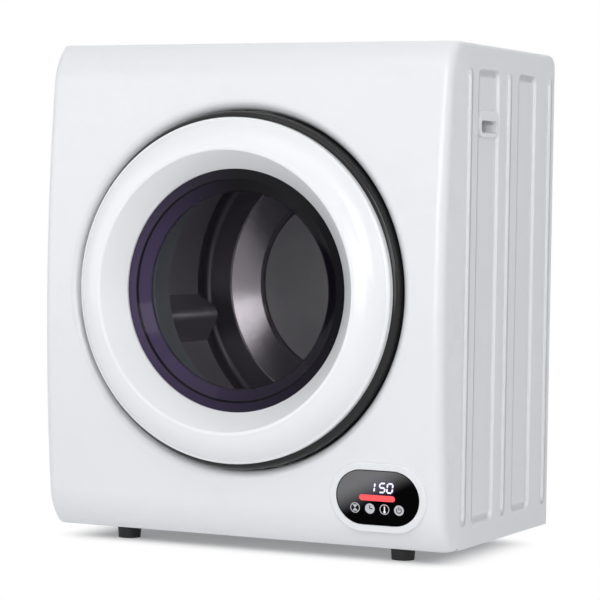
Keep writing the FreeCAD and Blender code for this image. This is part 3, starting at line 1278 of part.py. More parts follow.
def motor_pulley():
    """Small flanged belt pulley."""
    y0, y1 = pulley_span()
    rim = PULLEY_RADIUS + PULLEY_FLANGE_RISE
    steps = [
        (MOTOR_SHAFT_RADIUS + PRESS_FIT, y0), (rim, y0), (rim, y0 + PULLEY_FLANGE),
        (PULLEY_RADIUS, y0 + PULLEY_FLANGE), (PULLEY_RADIUS, y1 - PULLEY_FLANGE), (rim, y1 - PULLEY_FLANGE),
        (rim, y1), (MOTOR_SHAFT_RADIUS + PRESS_FIT, y1),
    ]
    return turned(steps, MOTOR_X, MOTOR_HEIGHT)


def drum_belt():
    """Flat belt round the drum and the motor pulley."""
    y0 = BELT_TRACK_Y - BELT_WIDTH / 2
    drum_axis = (0.0, DOOR_AXIS_HEIGHT)
    motor_axis = (MOTOR_X, MOTOR_HEIGHT)
    inner_drum = DRUM_RADIUS + DRUM_SHEET + RUNNING_GAP
    inner_pulley = PULLEY_RADIUS + RUNNING_GAP
    outer = loop_face(drum_axis, inner_drum + BELT_THICKNESS, motor_axis, inner_pulley + BELT_THICKNESS, y0)
    inner = loop_face(drum_axis, inner_drum, motor_axis, inner_pulley, y0)
    return outer.cut(inner).extrude(V(0, BELT_WIDTH, 0))


def idler_centre():
    """Idler wheel's centre, under the middle of the belt's lower run."""
    reach = math.hypot(MOTOR_X, DOOR_AXIS_HEIGHT - MOTOR_HEIGHT)
    drum_line = DRUM_RADIUS + DRUM_SHEET + RUNNING_GAP + BELT_THICKNESS
    pulley_line = PULLEY_RADIUS + RUNNING_GAP + BELT_THICKNESS
    heading = math.atan2(MOTOR_HEIGHT - DOOR_AXIS_HEIGHT, MOTOR_X)
    angle = heading - math.acos((drum_line - pulley_line) / reach)
    out = (drum_line + pulley_line) / 2 + IDLER_RADIUS + RUNNING_GAP
    x = MOTOR_X / 2 + out * math.cos(angle)
    z = (MOTOR_HEIGHT + DOOR_AXIS_HEIGHT) / 2 + out * math.sin(angle)
    return x, z


def idler_arm_y():
    """Front face of the idler's arm, behind the wheel."""
    return BELT_TRACK_Y + IDLER_WIDTH / 2 + RUNNING_GAP


def idler_wheel():
    """Idler wheel with a bore for its axle."""
    x, z = idler_centre()
    y0 = BELT_TRACK_Y - IDLER_WIDTH / 2
    return sleeve(IDLER_AXLE_RADIUS + ROLLER_FIT, IDLER_RADIUS, y0, y0 + IDLER_WIDTH, x, z)


def idler_arm():
    """Swinging arm with the wheel's axle at one end and its pivot bore at the other."""
    x, z = idler_centre()
    y0 = idler_arm_y()
    r = IDLER_ARM_WIDTH / 2
    link = loop_face((IDLER_PIVOT_X, IDLER_PIVOT_HEIGHT), r, (x, z), r - 0.01, y0)
    arm = link.extrude(V(0, IDLER_ARM_THICKNESS, 0))
    arm = arm.fuse(disc(IDLER_AXLE_RADIUS, BELT_TRACK_Y - IDLER_WIDTH / 2 - 1, y0 + 1, x, z))
    return arm.cut(disc(IDLER_AXLE_RADIUS + SHAFT_FIT, 0, FAR, IDLER_PIVOT_X, IDLER_PIVOT_HEIGHT))


def idler_pin():
    """Pivot pin of the idler's arm, pressed into the cradle's tab."""
    y0 = idler_arm_y()
    y1 = y0 + 2 * IDLER_ARM_THICKNESS + RUNNING_GAP
    head = disc(IDLER_AXLE_RADIUS * 1.5, y0 - IDLER_ARM_THICKNESS, y0 - RUNNING_GAP, IDLER_PIVOT_X,
                IDLER_PIVOT_HEIGHT)
    return head.fuse(disc(IDLER_AXLE_RADIUS, y0 - IDLER_ARM_THICKNESS, y1, IDLER_PIVOT_X, IDLER_PIVOT_HEIGHT))


def scroll_inner():
    """Front and back of the space inside the fan's scroll."""
    return SCROLL_FRONT_Y + SCROLL_WALL, SCROLL_FRONT_Y + SCROLL_DEPTH - SCROLL_WALL


def fan_span():
    """Front and back of the fan wheel."""
    y0, y1 = scroll_inner()
    middle = (y0 + y1) / 2
    return middle - FAN_DEPTH / 2, middle + FAN_DEPTH / 2


def fan_impeller():
    """Centrifugal fan wheel: hub, back disc, leaning blades and a front rim."""
    y0, y1 = fan_span()
    axis = (MOTOR_X, MOTOR_HEIGHT)
    wheel = disc(FAN_RADIUS, y0, y0 + FAN_BLADE_THICKNESS, *axis).fuse(disc(FAN_HUB_RADIUS, y0, y1, *axis))
    blade = block(-FAN_BLADE_THICKNESS / 2, FAN_BLADE_THICKNESS / 2, y0, y1, 0, FAN_BLADE_LENGTH)
    blade.rotate(V(0, 0, 0), Y_AXIS, FAN_BLADE_LENGTH * 2)
    blade.translate(V(MOTOR_X, 0, MOTOR_HEIGHT + FAN_RADIUS - FAN_BLADE_LENGTH - FAN_BLADE_THICKNESS))
    blades = []
    for i in range(FAN_BLADES):
        turned_blade = blade.copy()
        turned_blade.rotate(V(MOTOR_X, 0, MOTOR_HEIGHT), Y_AXIS, i * 360 / FAN_BLADES)
        blades.append(turned_blade)
    rim = sleeve(FAN_RADIUS - FAN_BLADE_LENGTH, FAN_RADIUS, y1 - FAN_BLADE_THICKNESS, y1, *axis)
    wheel = wheel.fuse(blades + [rim])
    return wheel.cut(disc(MOTOR_SHAFT_RADIUS + PRESS_FIT, 0, FAR, *axis))


def outlet_span(grow):
    """Y and Z limits of the scroll's outlet passage, grown all round."""
    z0 = MOTOR_HEIGHT - SCROLL_RADIUS + SCROLL_WALL
    y0, y1 = scroll_inner()
    return y0 - grow, y1 + grow, z0 - grow, z0 + SCROLL_OUTLET_HEIGHT - 2 * SCROLL_WALL + grow


def elbow_right_x():
    """Where the scroll's outlet meets the exhaust elbow."""
    return MOTOR_X - SCROLL_OUTLET_LENGTH


def fan_scroll():
    """Fan housing with a low tangential outlet to the left."""
    axis = (MOTOR_X, MOTOR_HEIGHT)
    y0, y1 = SCROLL_FRONT_Y, SCROLL_FRONT_Y + SCROLL_DEPTH
    outlet = block(elbow_right_x(), MOTOR_X, *outlet_span(SCROLL_WALL))
    outer = disc(SCROLL_RADIUS, y0, y1, *axis).fuse(outlet)
    s0, s1 = scroll_inner()
    inner = disc(SCROLL_RADIUS - SCROLL_WALL, s0, s1, *axis)
    inner = inner.fuse(block(elbow_right_x() - 1, MOTOR_X, *outlet_span(0.0)))
    scroll = outer.cut(inner)
    scroll = scroll.cut(disc(FAN_EYE_RADIUS, s1 - 1, FAR, *axis))
    return scroll.cut(disc(2 * MOTOR_SHAFT_RADIUS, 0, s0 + 1, *axis))


def spigot_centre():
    """Middle of the round exhaust outlet."""
    bottom = outlet_span(SCROLL_WALL)[2]
    return elbow_right_x() - ELBOW_WIDTH / 2, bottom + ELBOW_HEIGHT / 2


def elbow_form(inset):
    """Low passage from the fan and tall box behind the drum, drawn in by `inset`."""
    right = elbow_right_x() - inset
    left = elbow_right_x() - ELBOW_WIDTH + inset
    y0, _, z0, z1 = outlet_span(SCROLL_WALL - inset)
    back = BODY_DEPTH - SHEET - inset
    behind_drum = DRUM_BACK_Y + DRUM_SHEET + ELBOW_ROOM + inset
    low = block(left, right, y0, back, z0, z1)
    return low.fuse(block(left, right, behind_drum, back, z0, z0 + ELBOW_HEIGHT - 2 * inset))


def exhaust_elbow():
    """Box elbow from the fan's outlet to the spigot on the rear panel."""
    w = SCROLL_WALL
    shell = elbow_form(0.0).cut(elbow_form(w))
    shell = shell.cut(block(elbow_right_x() - 2 * w, elbow_right_x() + 1, *outlet_span(0.0)))
    return shell.cut(disc(SPIGOT_RADIUS + RUNNING_GAP, BODY_DEPTH - 4 * w, FAR, *spigot_centre()))


def exhaust_spigot():
    """Round exhaust outlet for a hose, flanged on the rear panel."""
    end = BODY_DEPTH + SPIGOT_PROJECTION
    start = BODY_DEPTH - 3 * SCROLL_WALL
    axis = spigot_centre()
    tube = disc(SPIGOT_RADIUS, start, end, *axis)
    flange = disc(SPIGOT_FLANGE_RADIUS, REAR_FACE_Y, REAR_FACE_Y + SPIGOT_FLANGE_THICKNESS, *axis)
    return tube.fuse(flange).cut(disc(SPIGOT_RADIUS - SPIGOT_WALL, 0, FAR, *axis))


def control_lens():
    """Black gloss touch lens with softened edges."""
    lens = oblong(LENS_WIDTH, LENS_HEIGHT, SURROUND_RISE - LENS_THICKNESS, SURROUND_RISE)
    rim = [e for e in lens.Edges if e.BoundBox.ZMin > SURROUND_RISE - 0.01]
    return on_control(lens.makeFillet(SURROUND_ROUND / 4, rim))


def control_case():
    """Open case behind the lens for the control board, with posts to carry it."""
    w = CONTROL_CASE_WALL
    width = LENS_WIDTH - LENS_LEDGE
    height = LENS_HEIGHT - LENS_LEDGE
    front = control_seat()
    back = front - CONTROL_CASE_DEPTH
    case = oblong(width, height, back, front, PRESSING_CORNER)
    case = case.cut(oblong(width - 2 * w, height - 2 * w, back + w, front + 1, PRESSING_CORNER - w))
    for x in (-width / 4, width / 4):
        case = case.fuse(Part.makeCylinder(w, CONTROL_CASE_DEPTH / 2, V(x, 0, back + w / 2), Z_AXIS))
    return on_control(case)


def control_board():
    """Touch and display board on the case's posts."""
    w = CONTROL_CASE_WALL
    level = control_seat() - CONTROL_CASE_DEPTH / 2 + w / 2
    width = LENS_WIDTH - LENS_LEDGE - 2 * w - 2 * RUNNING_GAP
    height = LENS_HEIGHT - LENS_LEDGE - 2 * w - 2 * RUNNING_GAP
    return on_control(oblong(width, height, level, level + BOARD_THICKNESS, PRESSING_CORNER - w))


def main():
    """Build and write every piece."""
    os.makedirs("parts", exist_ok=True)
    makers = [
        front_panel, cabinet_wrap, base_tray, rear_panel, rear_panel_screws, rear_inlet_grille, cord_gland,
        foot_screws, door_ring, door_trim_ring, door_window, door_liner, door_screws, door_seal,
        door_hinge_leaf, door_hinge_bracket, door_hinge_pin, hinge_screws, door_strike, latch_catch,
        door_switch, door_switch_plunger, front_air_ring, front_felt_ring, drum_shell, drum_back,
        lint_filter_cover, drum_shaft, drum_bearing, bearing_housing, rear_support, rear_air_pan,
        rear_felt_ring, hot_air_duct, heater_element, motor_body, motor_cradle, motor_shaft, motor_pulley,
        drum_belt, idler_wheel, idler_arm, idler_pin, fan_impeller, fan_scroll, exhaust_elbow,
        exhaust_spigot, control_lens, control_case, control_board,
    ]
    for maker in makers:
        export(maker.__name__, maker())
    grip = side_grip()
    export("side_grip_right", grip)
    export("side_grip_left", mirrored(grip))
    corners = ("front_left", "front_right", "rear_left", "rear_right")
    for name, (x, y) in zip(corners, foot_places()):
        export("foot_" + name, foot(x, y))
    for index in range(PADDLE_COUNT):
        export("drum_paddle_" + str(index + 1), drum_paddle(index))


main()
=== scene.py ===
"""Looks of a compact tumble dryer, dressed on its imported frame.

Metres, +Z up, the door faces -Y, the origin is the bottom centre of the whole box.
"""

import json
import logging
import math
from dataclasses import dataclass
from enum import Enum
from typing import Any, Iterable, Sequence

import bmesh
import bpy
from mathutils import Matrix, Vector


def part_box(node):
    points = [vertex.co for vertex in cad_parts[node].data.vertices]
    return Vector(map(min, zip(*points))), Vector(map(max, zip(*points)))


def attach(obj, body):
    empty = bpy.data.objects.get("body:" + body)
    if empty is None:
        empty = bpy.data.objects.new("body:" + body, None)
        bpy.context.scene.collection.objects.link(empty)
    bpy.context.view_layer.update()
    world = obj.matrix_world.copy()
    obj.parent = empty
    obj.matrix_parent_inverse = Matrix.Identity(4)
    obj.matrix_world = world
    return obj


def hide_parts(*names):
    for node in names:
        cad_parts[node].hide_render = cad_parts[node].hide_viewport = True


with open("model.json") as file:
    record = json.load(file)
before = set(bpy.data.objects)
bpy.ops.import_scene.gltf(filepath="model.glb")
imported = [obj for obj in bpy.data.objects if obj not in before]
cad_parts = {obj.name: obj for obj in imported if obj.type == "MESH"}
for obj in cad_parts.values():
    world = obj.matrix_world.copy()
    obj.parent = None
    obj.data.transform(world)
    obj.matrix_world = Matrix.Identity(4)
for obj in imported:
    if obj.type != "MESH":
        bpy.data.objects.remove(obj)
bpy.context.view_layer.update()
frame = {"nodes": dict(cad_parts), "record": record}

log = logging.getLogger("dryer")
MM = 0.001
WHITE = (1.0, 1.0, 1.0, 1.0)
Colour = tuple[float, float, float]
Point2 = tuple[float, float]
Point3 = tuple[float, float, float]
# The drum and the door share one axis along Y, in the middle of the width.
AXIS_HEIGHT = sum(corner.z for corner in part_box("drum_shell")) / 2


class Way(Enum):
    """Directions that a fastener's head faces."""

    BACK = (0.0, 1.0, 0.0)
    FRONT = (0.0, -1.0, 0.0)
    UP = (0.0, 0.0, 1.0)


class Sock:
    """A node's output that takes part in Python expressions."""

    def __init__(self, graph: "Graph", socket: bpy.types.NodeSocket) -> None:
        """Keep the socket with the graph that owns it."""
        self.graph = graph
        self.socket = socket

    def apply(self, operation: str, *values: Any) -> "Sock":
        """Add one Math node over the given values."""
        names = ("Value", "Value_001", "Value_002")
        return self.graph.node("ShaderNodeMath", {"operation": operation}, dict(zip(names, values)))

    def __add__(self, other: Any) -> "Sock":
        """Sum."""
        return self.apply("ADD", self, other)

    def __radd__(self, other: Any) -> "Sock":
        """Reflected sum."""
        return self.apply("ADD", other, self)

    def __sub__(self, other: Any) -> "Sock":
        """Difference."""
        return self.apply("SUBTRACT", self, other)

    def __rsub__(self, other: Any) -> "Sock":
        """Reflected difference."""
        return self.apply("SUBTRACT", other, self)

    def __mul__(self, other: Any) -> "Sock":
        """Product."""
        return self.apply("MULTIPLY", self, other)

    def __rmul__(self, other: Any) -> "Sock":
        """Reflected product."""
        return self.apply("MULTIPLY", other, self)

    def __truediv__(self, other: Any) -> "Sock":
        """Quotient."""
        return self.apply("DIVIDE", self, other)

    def __pow__(self, other: Any) -> "Sock":
        """Power."""
        return self.apply("POWER", self, other)

    def __abs__(self) -> "Sock":
        """Size without its sign."""
        return self.apply("ABSOLUTE", self)

    def sine(self) -> "Sock":
        """Sine of an angle in radians."""
        return self.apply("SINE", self)

    def most(self, other: Any) -> "Sock":
        """The larger of two values."""
        return self.apply("MAXIMUM", self, other)

    def least(self, other: Any) -> "Sock":
        """The smaller of two values."""
        return self.apply("MINIMUM", self, other)

    def diagonal(self, other: "Sock") -> "Sock":
        """Length of the diagonal over two sides."""
        return (self * self + other * other) ** 0.5

    def ease(self, low: float, high: float, start: float = 0.0, end: float = 1.0) -> "Sock":
        """Smooth step from `start` at `low` to `end` at `high`."""
        return self.graph.node("ShaderNodeMapRange", {"interpolation_type": "SMOOTHSTEP"}, {
            "Value": self, "From Min": low, "From Max": high, "To Min": start, "To Max": end})


class Graph:
    """A node tree that is filled through one method."""

    def __init__(self, tree: bpy.types.NodeTree) -> None:
        """Start from an empty tree."""
        self.tree = tree
        self.tree.nodes.clear()

    def node(self, kind: str, settings: dict[str, Any] | None = None, inputs: dict[str, Any] | None = None,
             output: str | int = 0) -> Sock:
        """Add one node.

        Args:
            kind: The node's type.
            settings: Its properties, set first.
            inputs: Values or links of its sockets, by identifier or name.
            output: The output that the caller wants, by place, identifier or name.

        Returns:
            That output.
        """
        made = self.tree.nodes.new(kind)
        for key, value in (settings or {}).items():
            setattr(made, key, value)
        for key, value in (inputs or {}).items():
            socket = next(s for s in made.inputs if key in (s.identifier, s.name))
            for one in value if isinstance(value, list) else [value]:
                if isinstance(one, Sock):
                    self.tree.links.new(one.socket, socket)
                else:
                    socket.default_value = one
        if not made.outputs:
            return Sock(self, None)
        if isinstance(output, int):
            return Sock(self, made.outputs[output])
        return Sock(self, next(s for s in made.outputs if output in (s.identifier, s.name)))

    def place(self) -> Sock:
        """The surface point in the shared frame."""
        return self.node("ShaderNodeTexCoord", output="Object")

    def axes(self) -> tuple[Sock, Sock, Sock]:
        """X, Y and Z of the surface point."""
        point = self.place()
        return tuple(self.node("ShaderNodeSeparateXYZ", inputs={"Vector": point}, output=k) for k in "XYZ")

    def polar(self) -> tuple[Sock, Sock, Sock]:
        """The surface point about the axis of the drum and the door.

        Returns:
            Distance from the axis, and the steps across and up from it.
        """
        x, _, z = self.axes()
        rise = z - AXIS_HEIGHT
        return x.diagonal(rise), x, rise

    def seen(self) -> Sock:
        """One for rays that show the surroundings, through glass and in mirrors too."""
        camera, mirror, glass = [self.node("ShaderNodeLightPath", output=f"Is {kind} Ray")
                                 for kind in ("Camera", "Glossy", "Transmission")]
        return camera.most(mirror).most(glass)

    def stretched(self, scale: Sequence[float]) -> Sock:
        """The surface point with each axis scaled."""
        return self.node("ShaderNodeMapping", inputs={"Vector": self.place(), "Scale": tuple(scale)})

    def noise(self, scale: float, detail: float = 2.0, vector: Sock | None = None) -> Sock:
        """Soft noise from 0 to 1, its scale in grains to a metre."""
        return self.node("ShaderNodeTexNoise", inputs={
            "Vector": vector or self.place(), "Scale": scale, "Detail": detail})

    def cells(self, scale: float, output: str = "Distance") -> Sock:
        """Cell pattern on the surface point, its scale in cells to a metre."""
        return self.node("ShaderNodeTexVoronoi", inputs={
            "Vector": self.place(), "Scale": scale}, output=output)

    def blend(self, factor: Any, first: Any, second: Any) -> Sock:
        """Mix two colours."""
        pair = [(*c, 1.0) if isinstance(c, tuple) else c for c in (first, second)]
        return self.node("ShaderNodeMix", {"data_type": "RGBA"}, {
            "Factor_Float": factor, "A_Color": pair[0], "B_Color": pair[1]}, "Result_Color")

    def bump(self, height: Sock, depth: float, over: Sock | None = None) -> Sock:
        """Normal from a height field of the given depth in metres, laid over another one."""
        under = {} if over is None else {"Normal": over}
        return self.node("ShaderNodeBump", inputs={"Height": height, "Distance": depth, **under})

    def mix(self, factor: Sock, first: Sock, second: Sock) -> Sock:
        """Mix two shaders."""
        return self.node("ShaderNodeMixShader", inputs={
            "Fac": factor, "Shader": first, "Shader_001": second})

    def principled(self, inputs: dict[str, Any]) -> Sock:
        """The main surface shader."""
        return self.node("ShaderNodeBsdfPrincipled", inputs=inputs)

    def end(self, kind: str, surface: Sock) -> None:
        """Close the tree with its output node."""
        self.node(kind, inputs={"Surface": surface})


def tone(colour: Colour, factor: float) -> Colour:
    """A lighter or darker tone of a colour."""
    return tuple(min(1.0, c * factor) for c in colour)


@dataclass(frozen=True)
class Finish:
    """A finish with its slot, colour and gloss."""

    slot: str
    colour: Colour
    roughness: float

    def label(self) -> str:
        """Name of the material."""
        return self.slot + "_finish"

    def shades(self, g: Graph, factor: Any, low: float, high: float) -> Sock:
        """The colour between two tones of it."""
        return g.blend(factor, tone(self.colour, low), tone(self.colour, high))

    def material(self) -> bpy.types.Material:
        """Make the material once and hand it out afterwards.

        Returns:
            The material of this finish.
        """
        if self.label() in bpy.data.materials:
            return bpy.data.materials[self.label()]
        made = bpy.data.materials.new(self.label())
        made.use_nodes = True
        graph = Graph(made.node_tree)
        graph.end("ShaderNodeOutputMaterial", self.surface(graph))
        return made

    def surface(self, g: Graph) -> Sock:
        """Shader of this finish."""
        raise NotImplementedError


@dataclass(frozen=True)
class Moulding(Finish):
    """Injection moulded or sprayed skin with a fine orange peel."""

    grain: float = 700.0
    depth: float = 0.00004
    coat: float = 0.3

    def surface(self, g: Graph) -> Sock:
        """Faint clouding, uneven gloss and a fine peel.

        Args:
            g: The material's graph.

        Returns:
            The shader.
        """
        cloud = g.noise(9.0, 3.0)
        peel = g.noise(self.grain, 2.0)
        speck = g.noise(self.grain * 3.1, 1.0)
        return g.principled({
            "Base Color": self.shades(g, cloud, 0.985, 1.01),
            "Roughness": self.roughness + (cloud - 0.5) * 0.05 + (speck - 0.5) * 0.04,
            "Coat Weight": self.coat, "Coat Roughness": self.roughness * 0.35,
            "Normal": self.normal(g, peel)})

    def normal(self, g: Graph, peel: Sock) -> Sock:
        """Normal of the fine peel."""
        return g.bump(peel, self.depth)


@dataclass(frozen=True)
class PressedSheet(Moulding):
    """Sprayed sheet whose pressed beads and recesses have soft shoulders."""

    side: float = 0.255
    edge: float = 0.002
    foot: float = 0.043
    head: float = 0.575
    beads: tuple[float, ...] = (-0.1025, 0.0215, 0.1595)
    recesses: tuple[Point2, ...] = ((-0.0765, -0.0085), (0.0525, 0.1135))
    shoulder: float = 0.011
    draw: float = 0.007

    def normal(self, g: Graph, peel: Sock) -> Sock:
        """The peel laid over the shoulders of the sides' pressings.

        Args:
            g: The material's graph.
            peel: Height of the fine peel.

        Returns:
            The surface normal.
        """
        x, y, z = g.axes()
        inside = abs(x).ease(self.side - self.edge, self.side) * self.between(z, self.foot, self.head)
        raised = sum(abs(y - bead).ease(0.0, self.shoulder, 1.0, 0.0) for bead in self.beads)
        sunk = sum(self.between(y, front, back) for front, back in self.recesses)
        return g.bump(peel, self.depth, g.bump((raised - sunk) * inside, self.draw))

    def between(self, place: Sock, start: float, end: float) -> Sock:
        """One from `start` to `end`, with a soft shoulder at each."""
        return place.ease(start, start + self.shoulder) * place.ease(end - self.shoulder, end, 1.0, 0.0)


@dataclass(frozen=True)
class ZincSheet(Finish):
    """Galvanised sheet with a soft spangle."""

    spangle: float = 75.0

    def surface(self, g: Graph) -> Sock:
        """Cells of slightly different brightness and gloss.

        Args:
            g: The material's graph.

        Returns:
            The shader.
        """
        tint = g.node("ShaderNodeSeparateColor", inputs={"Color": g.cells(self.spangle, "Color")})
        smear = g.noise(30.0, 4.0)
        shade = tint * 0.6 + smear * 0.4
        return g.principled({
            "Base Color": self.shades(g, shade, 0.88, 1.08),
            "Metallic": 0.85, "Roughness": self.roughness + (shade - 0.5) * 0.16,
            "Normal": g.bump(smear, 0.00003)})


@dataclass(frozen=True)
class BrushedSteel(Finish):
    """Metal with brush lines along one axis of the machine."""

    lines: tuple[float, float, float] = (900.0, 25.0, 900.0)
    contrast: float = 0.1
    metallic: float = 1.0

    def surface(self, g: Graph) -> Sock:
        """Fine lines in gloss and height with a few broad smears.

        Args:
            g: The material's graph.

        Returns:
            The shader.
        """
        line = g.noise(1.0, 3.0, g.stretched(self.lines))
        smear = g.noise(14.0, 3.0)
        return g.principled({
            "Base Color": self.shades(g, line * 0.6 + smear * 0.4, 1 - self.contrast, 1 + self.contrast),
            "Metallic": self.metallic,
            "Roughness": self.roughness * (1.0 + (line - 0.5) * 0.6 + (smear - 0.5) * 0.2),
            "Normal": g.bump(line, 0.00002)})


@dataclass(frozen=True)
class PressedBack(Finish):
    """Drum back with a polished cone and a duller flange round it, the flange darkened by painted shade."""

    cone_radius: float = 0.1605
    edge: float = 0.001
    lines: float = 5200.0
    flange_painted_shade: float = 0.25

    def surface(self, g: Graph) -> Sock:
        """Spun lines round the axis, with the gloss of each zone and painted shade on the flange.

        Args:
            g: The material's graph.

        Returns:
            The shader.
        """
        radius, _, _ = g.polar()
        flange = radius.ease(self.cone_radius - self.edge, self.cone_radius)
        spun = (radius * self.lines + g.noise(25.0, 2.0) * 3.0).sine() * 0.5 + 0.5
        smear = g.noise(14.0, 3.0)
        cone = self.shades(g, spun * 0.4 + smear * 0.6, 0.94, 1.06)
        # Painted shade: the flange's colour is a quarter of the cone's, so the ring between barrel and cone
        # reads dark.
        return g.principled({
            "Base Color": g.blend(flange, cone, tone(self.colour, self.flange_painted_shade)), "Metallic": 1.0,
            "Roughness": self.roughness * (0.85 + spun * 0.15 + smear * 0.2) + flange * 0.2,
            "Normal": g.bump(spun, 0.000004)})


@dataclass(frozen=True)
class Plating(Finish):
    """Smoked bright plating under a clear lacquer."""

    def surface(self, g: Graph) -> Sock:
        """Mirror gloss with slight waviness and handling haze.

        Args:
            g: The material's graph.

        Returns:
            The shader.
        """
        haze = g.noise(40.0, 4.0)
        wave = g.noise(60.0, 1.0)
        return g.principled({
            "Base Color": self.shades(g, haze, 0.92, 1.06),
            "Roughness": self.roughness + (haze - 0.5) * 0.05, "Specular IOR Level": 0.25,
            "Coat Weight": 0.1, "Coat Roughness": 0.06, "Normal": g.bump(wave, 0.00002)})


@dataclass(frozen=True)
class TintedWindow(Finish):
    """Clear violet moulding: nearly clear pane, denser rim in two bands with a painted dark line of fold
    shade, and painted shade round the rim.
    """

    pane_radius: float = 0.1150
    wall_radius: float = 0.1178
    crease_shade_radius: float = 0.1308
    crease_shade_width: float = 0.0022
    pane_cover: float = 0.24
    wall_cover: float = 0.95

    def surface(self, g: Graph) -> Sock:
        """Cover and tint by distance from the door's axis, painted shade by angle round it, and faint haze.

        Args:
            g: The material's graph.

        Returns:
            The shader.
        """
        radius, x, rise = g.polar()
        haze = g.noise(18.0, 3.0)
        wall = radius.ease(self.pane_radius, self.wall_radius)
        # Painted shade: a thin dark ring in the tint at the fold between the rim's two bands.
        painted_crease_shade = abs(radius - self.crease_shade_radius).ease(self.crease_shade_width * 0.4, self.crease_shade_width, 1.0, 0.0)
        across, up = x / radius, rise / radius
        # Painted shade: the rim's tint darkens by angle, most at the right and the top, least at the left.
        painted_rim_shade = (0.55 + across * 0.5 + up * 0.2 + up * up * 0.25).most(0.0).least(1.0)
        tint = self.shades(g, painted_rim_shade.most(painted_crease_shade), 1.0, 0.03)
        return g.principled({
            "Base Color": g.blend(wall, tone(self.colour, 0.1), tint),
            "Roughness": self.roughness + haze * 0.03, "Specular IOR Level": 0.1,
            "Alpha": self.pane_cover + wall * (self.wall_cover - self.pane_cover) + (haze - 0.5) * 0.03,
            "Normal": g.bump(haze, 0.00001)})


@dataclass(frozen=True)
class Rubber(Finish):
    """Dull elastomer with a mould texture."""

    def surface(self, g: Graph) -> Sock:
        """Bloom, dust and a fine pebble.

        Args:
            g: The material's graph.

        Returns:
            The shader.
        """
        bloom = g.noise(60.0, 5.0)
        pebble = g.cells(1500.0)
        return g.principled({
            "Base Color": self.shades(g, bloom, 0.8, 1.35),
            "Roughness": self.roughness + (bloom - 0.5) * 0.2,
            "Normal": g.bump(pebble, 0.00006)})


@dataclass(frozen=True)
class Felt(Finish):
    """Pressed wool felt."""

    def surface(self, g: Graph) -> Sock:
        """Matted fibres in colour and height.

        Args:
            g: The material's graph.

        Returns:
            The shader.
        """
        fibre = g.noise(420.0, 6.0)
        tuft = g.noise(110.0, 4.0)
        return g.principled({
            "Base Color": self.shades(g, fibre * 0.7 + tuft * 0.3, 0.7, 1.25),
            "Roughness": self.roughness, "Sheen Weight": 0.4,
            "Normal": g.bump(fibre, 0.0006)})


@dataclass(frozen=True)
class FilterMesh(Finish):
    """Fine woven filter mesh."""

    pitch: float = 0.0011

    def surface(self, g: Graph) -> Sock:
        """Crossing threads with a little caught lint.

        Args:
            g: The material's graph.

        Returns:
            The shader.
        """
        x, _, z = g.axes()
        turn = math.pi / self.pitch
        thread = abs((x * turn).sine()).most(abs((z * turn).sine()))
        lint = g.noise(60.0, 5.0)
        return g.principled({
            "Base Color": self.shades(g, thread * 0.7 + lint * 0.3, 0.7, 1.25),
            "Metallic": 0.45, "Roughness": self.roughness + (lint - 0.5) * 0.06,
            "Normal": g.bump(thread, 0.000006)})


@dataclass(frozen=True)
class CastIron(Finish):
    """Painted iron or bronze with a sandy skin."""

    metallic: float = 0.4

    def surface(self, g: Graph) -> Sock:
        """Sand grain with worn lighter tops.

        Args:
            g: The material's graph.

        Returns:
            The shader.
        """
        sand = g.noise(260.0, 5.0)
        worn = sand.ease(0.55, 0.72)
        return g.principled({
            "Base Color": self.shades(g, worn, 1.0, 1.6),
            "Metallic": self.metallic + worn * 0.3, "Roughness": self.roughness - worn * 0.15,
            "Normal": g.bump(sand, 0.0003)})


@dataclass(frozen=True)
class CircuitBoard(Finish):
    """Board with tracks under the solder mask."""

    pitch: float = 0.0025

    def surface(self, g: Graph) -> Sock:
        """Tracks and pads as lighter lines.

        Args:
            g: The material's graph.

        Returns:
            The shader.
        """
        track = g.node("ShaderNodeTexBrick", inputs={
            "Vector": g.stretched((1, 0, 1)), "Scale": 1 / self.pitch / 8, "Color1": (0, 0, 0, 1),
            "Color2": (0.1, 0.1, 0.1, 1), "Mortar": (1, 1, 1, 1), "Mortar Size": 0.05}, output="Fac")
        pad = g.cells(220.0).ease(0.2, 0.12)
        line = track.most(pad)
        return g.principled({
            "Base Color": self.shades(g, line, 1.0, 2.2),
            "Roughness": self.roughness + line * 0.1, "Normal": g.bump(line, 0.00005)})


@dataclass(frozen=True)
class LensGloss(Finish):
    """Smoked black display cover with a painted grey reflection at the upper left and a faint glow round
    the digits.
    """

    centre: Point2 = (0.1823, 0.0795)
    digits: Point2 = (0.1868, 0.0917)
    digits_half: Point2 = (0.011, 0.005)
    halo_reach: float = 0.008
    half: Point2 = (0.052, 0.032)
    border: float = 0.0016
    smoke: Colour = (0.175, 0.175, 0.18)
    painted_reflection_fade: Point2 = (-0.004, 0.022)
    glow: Colour = (0.009, 0.004, 0.03)

    def surface(self, g: Graph) -> Sock:
        """Black with a painted grey reflection at the upper left, fine dust and the display's glow.

        Args:
            g: The material's graph.

        Returns:
            The shader.
        """
        x, _, z = g.axes()
        across = (abs(x - self.digits[0]) - self.digits_half[0]).most(0.0)
        up = (abs(z - self.digits[1]) - self.digits_half[1]).most(0.0)
        halo = across.diagonal(up).ease(0.0, self.halo_reach, 1.0, 0.0)
        dust = g.noise(900.0, 4.0)
        u, v = x - self.centre[0], z - self.centre[1]
        straight = (abs(u) - (self.half[0] - self.half[1])).most(0.0)
        inset = self.half[1] - straight.diagonal(v)
        # Painted reflection: the base colour turns grey towards the upper left inside the border, standing
        # in for a bright light's reflection.
        smoke = (v * 0.75 - u * 0.35).ease(*self.painted_reflection_fade) * inset.ease(self.border * 0.5, self.border)
        black = self.shades(g, dust, 0.8, 1.4)
        return g.principled({
            "Base Color": g.blend(smoke, black, self.smoke),
            "Roughness": self.roughness + (dust - 0.5) * 0.02, "Specular IOR Level": 0.015,
            "Emission Color": g.blend(halo, (0.0, 0.0, 0.0), self.glow), "Emission Strength": 1.0})


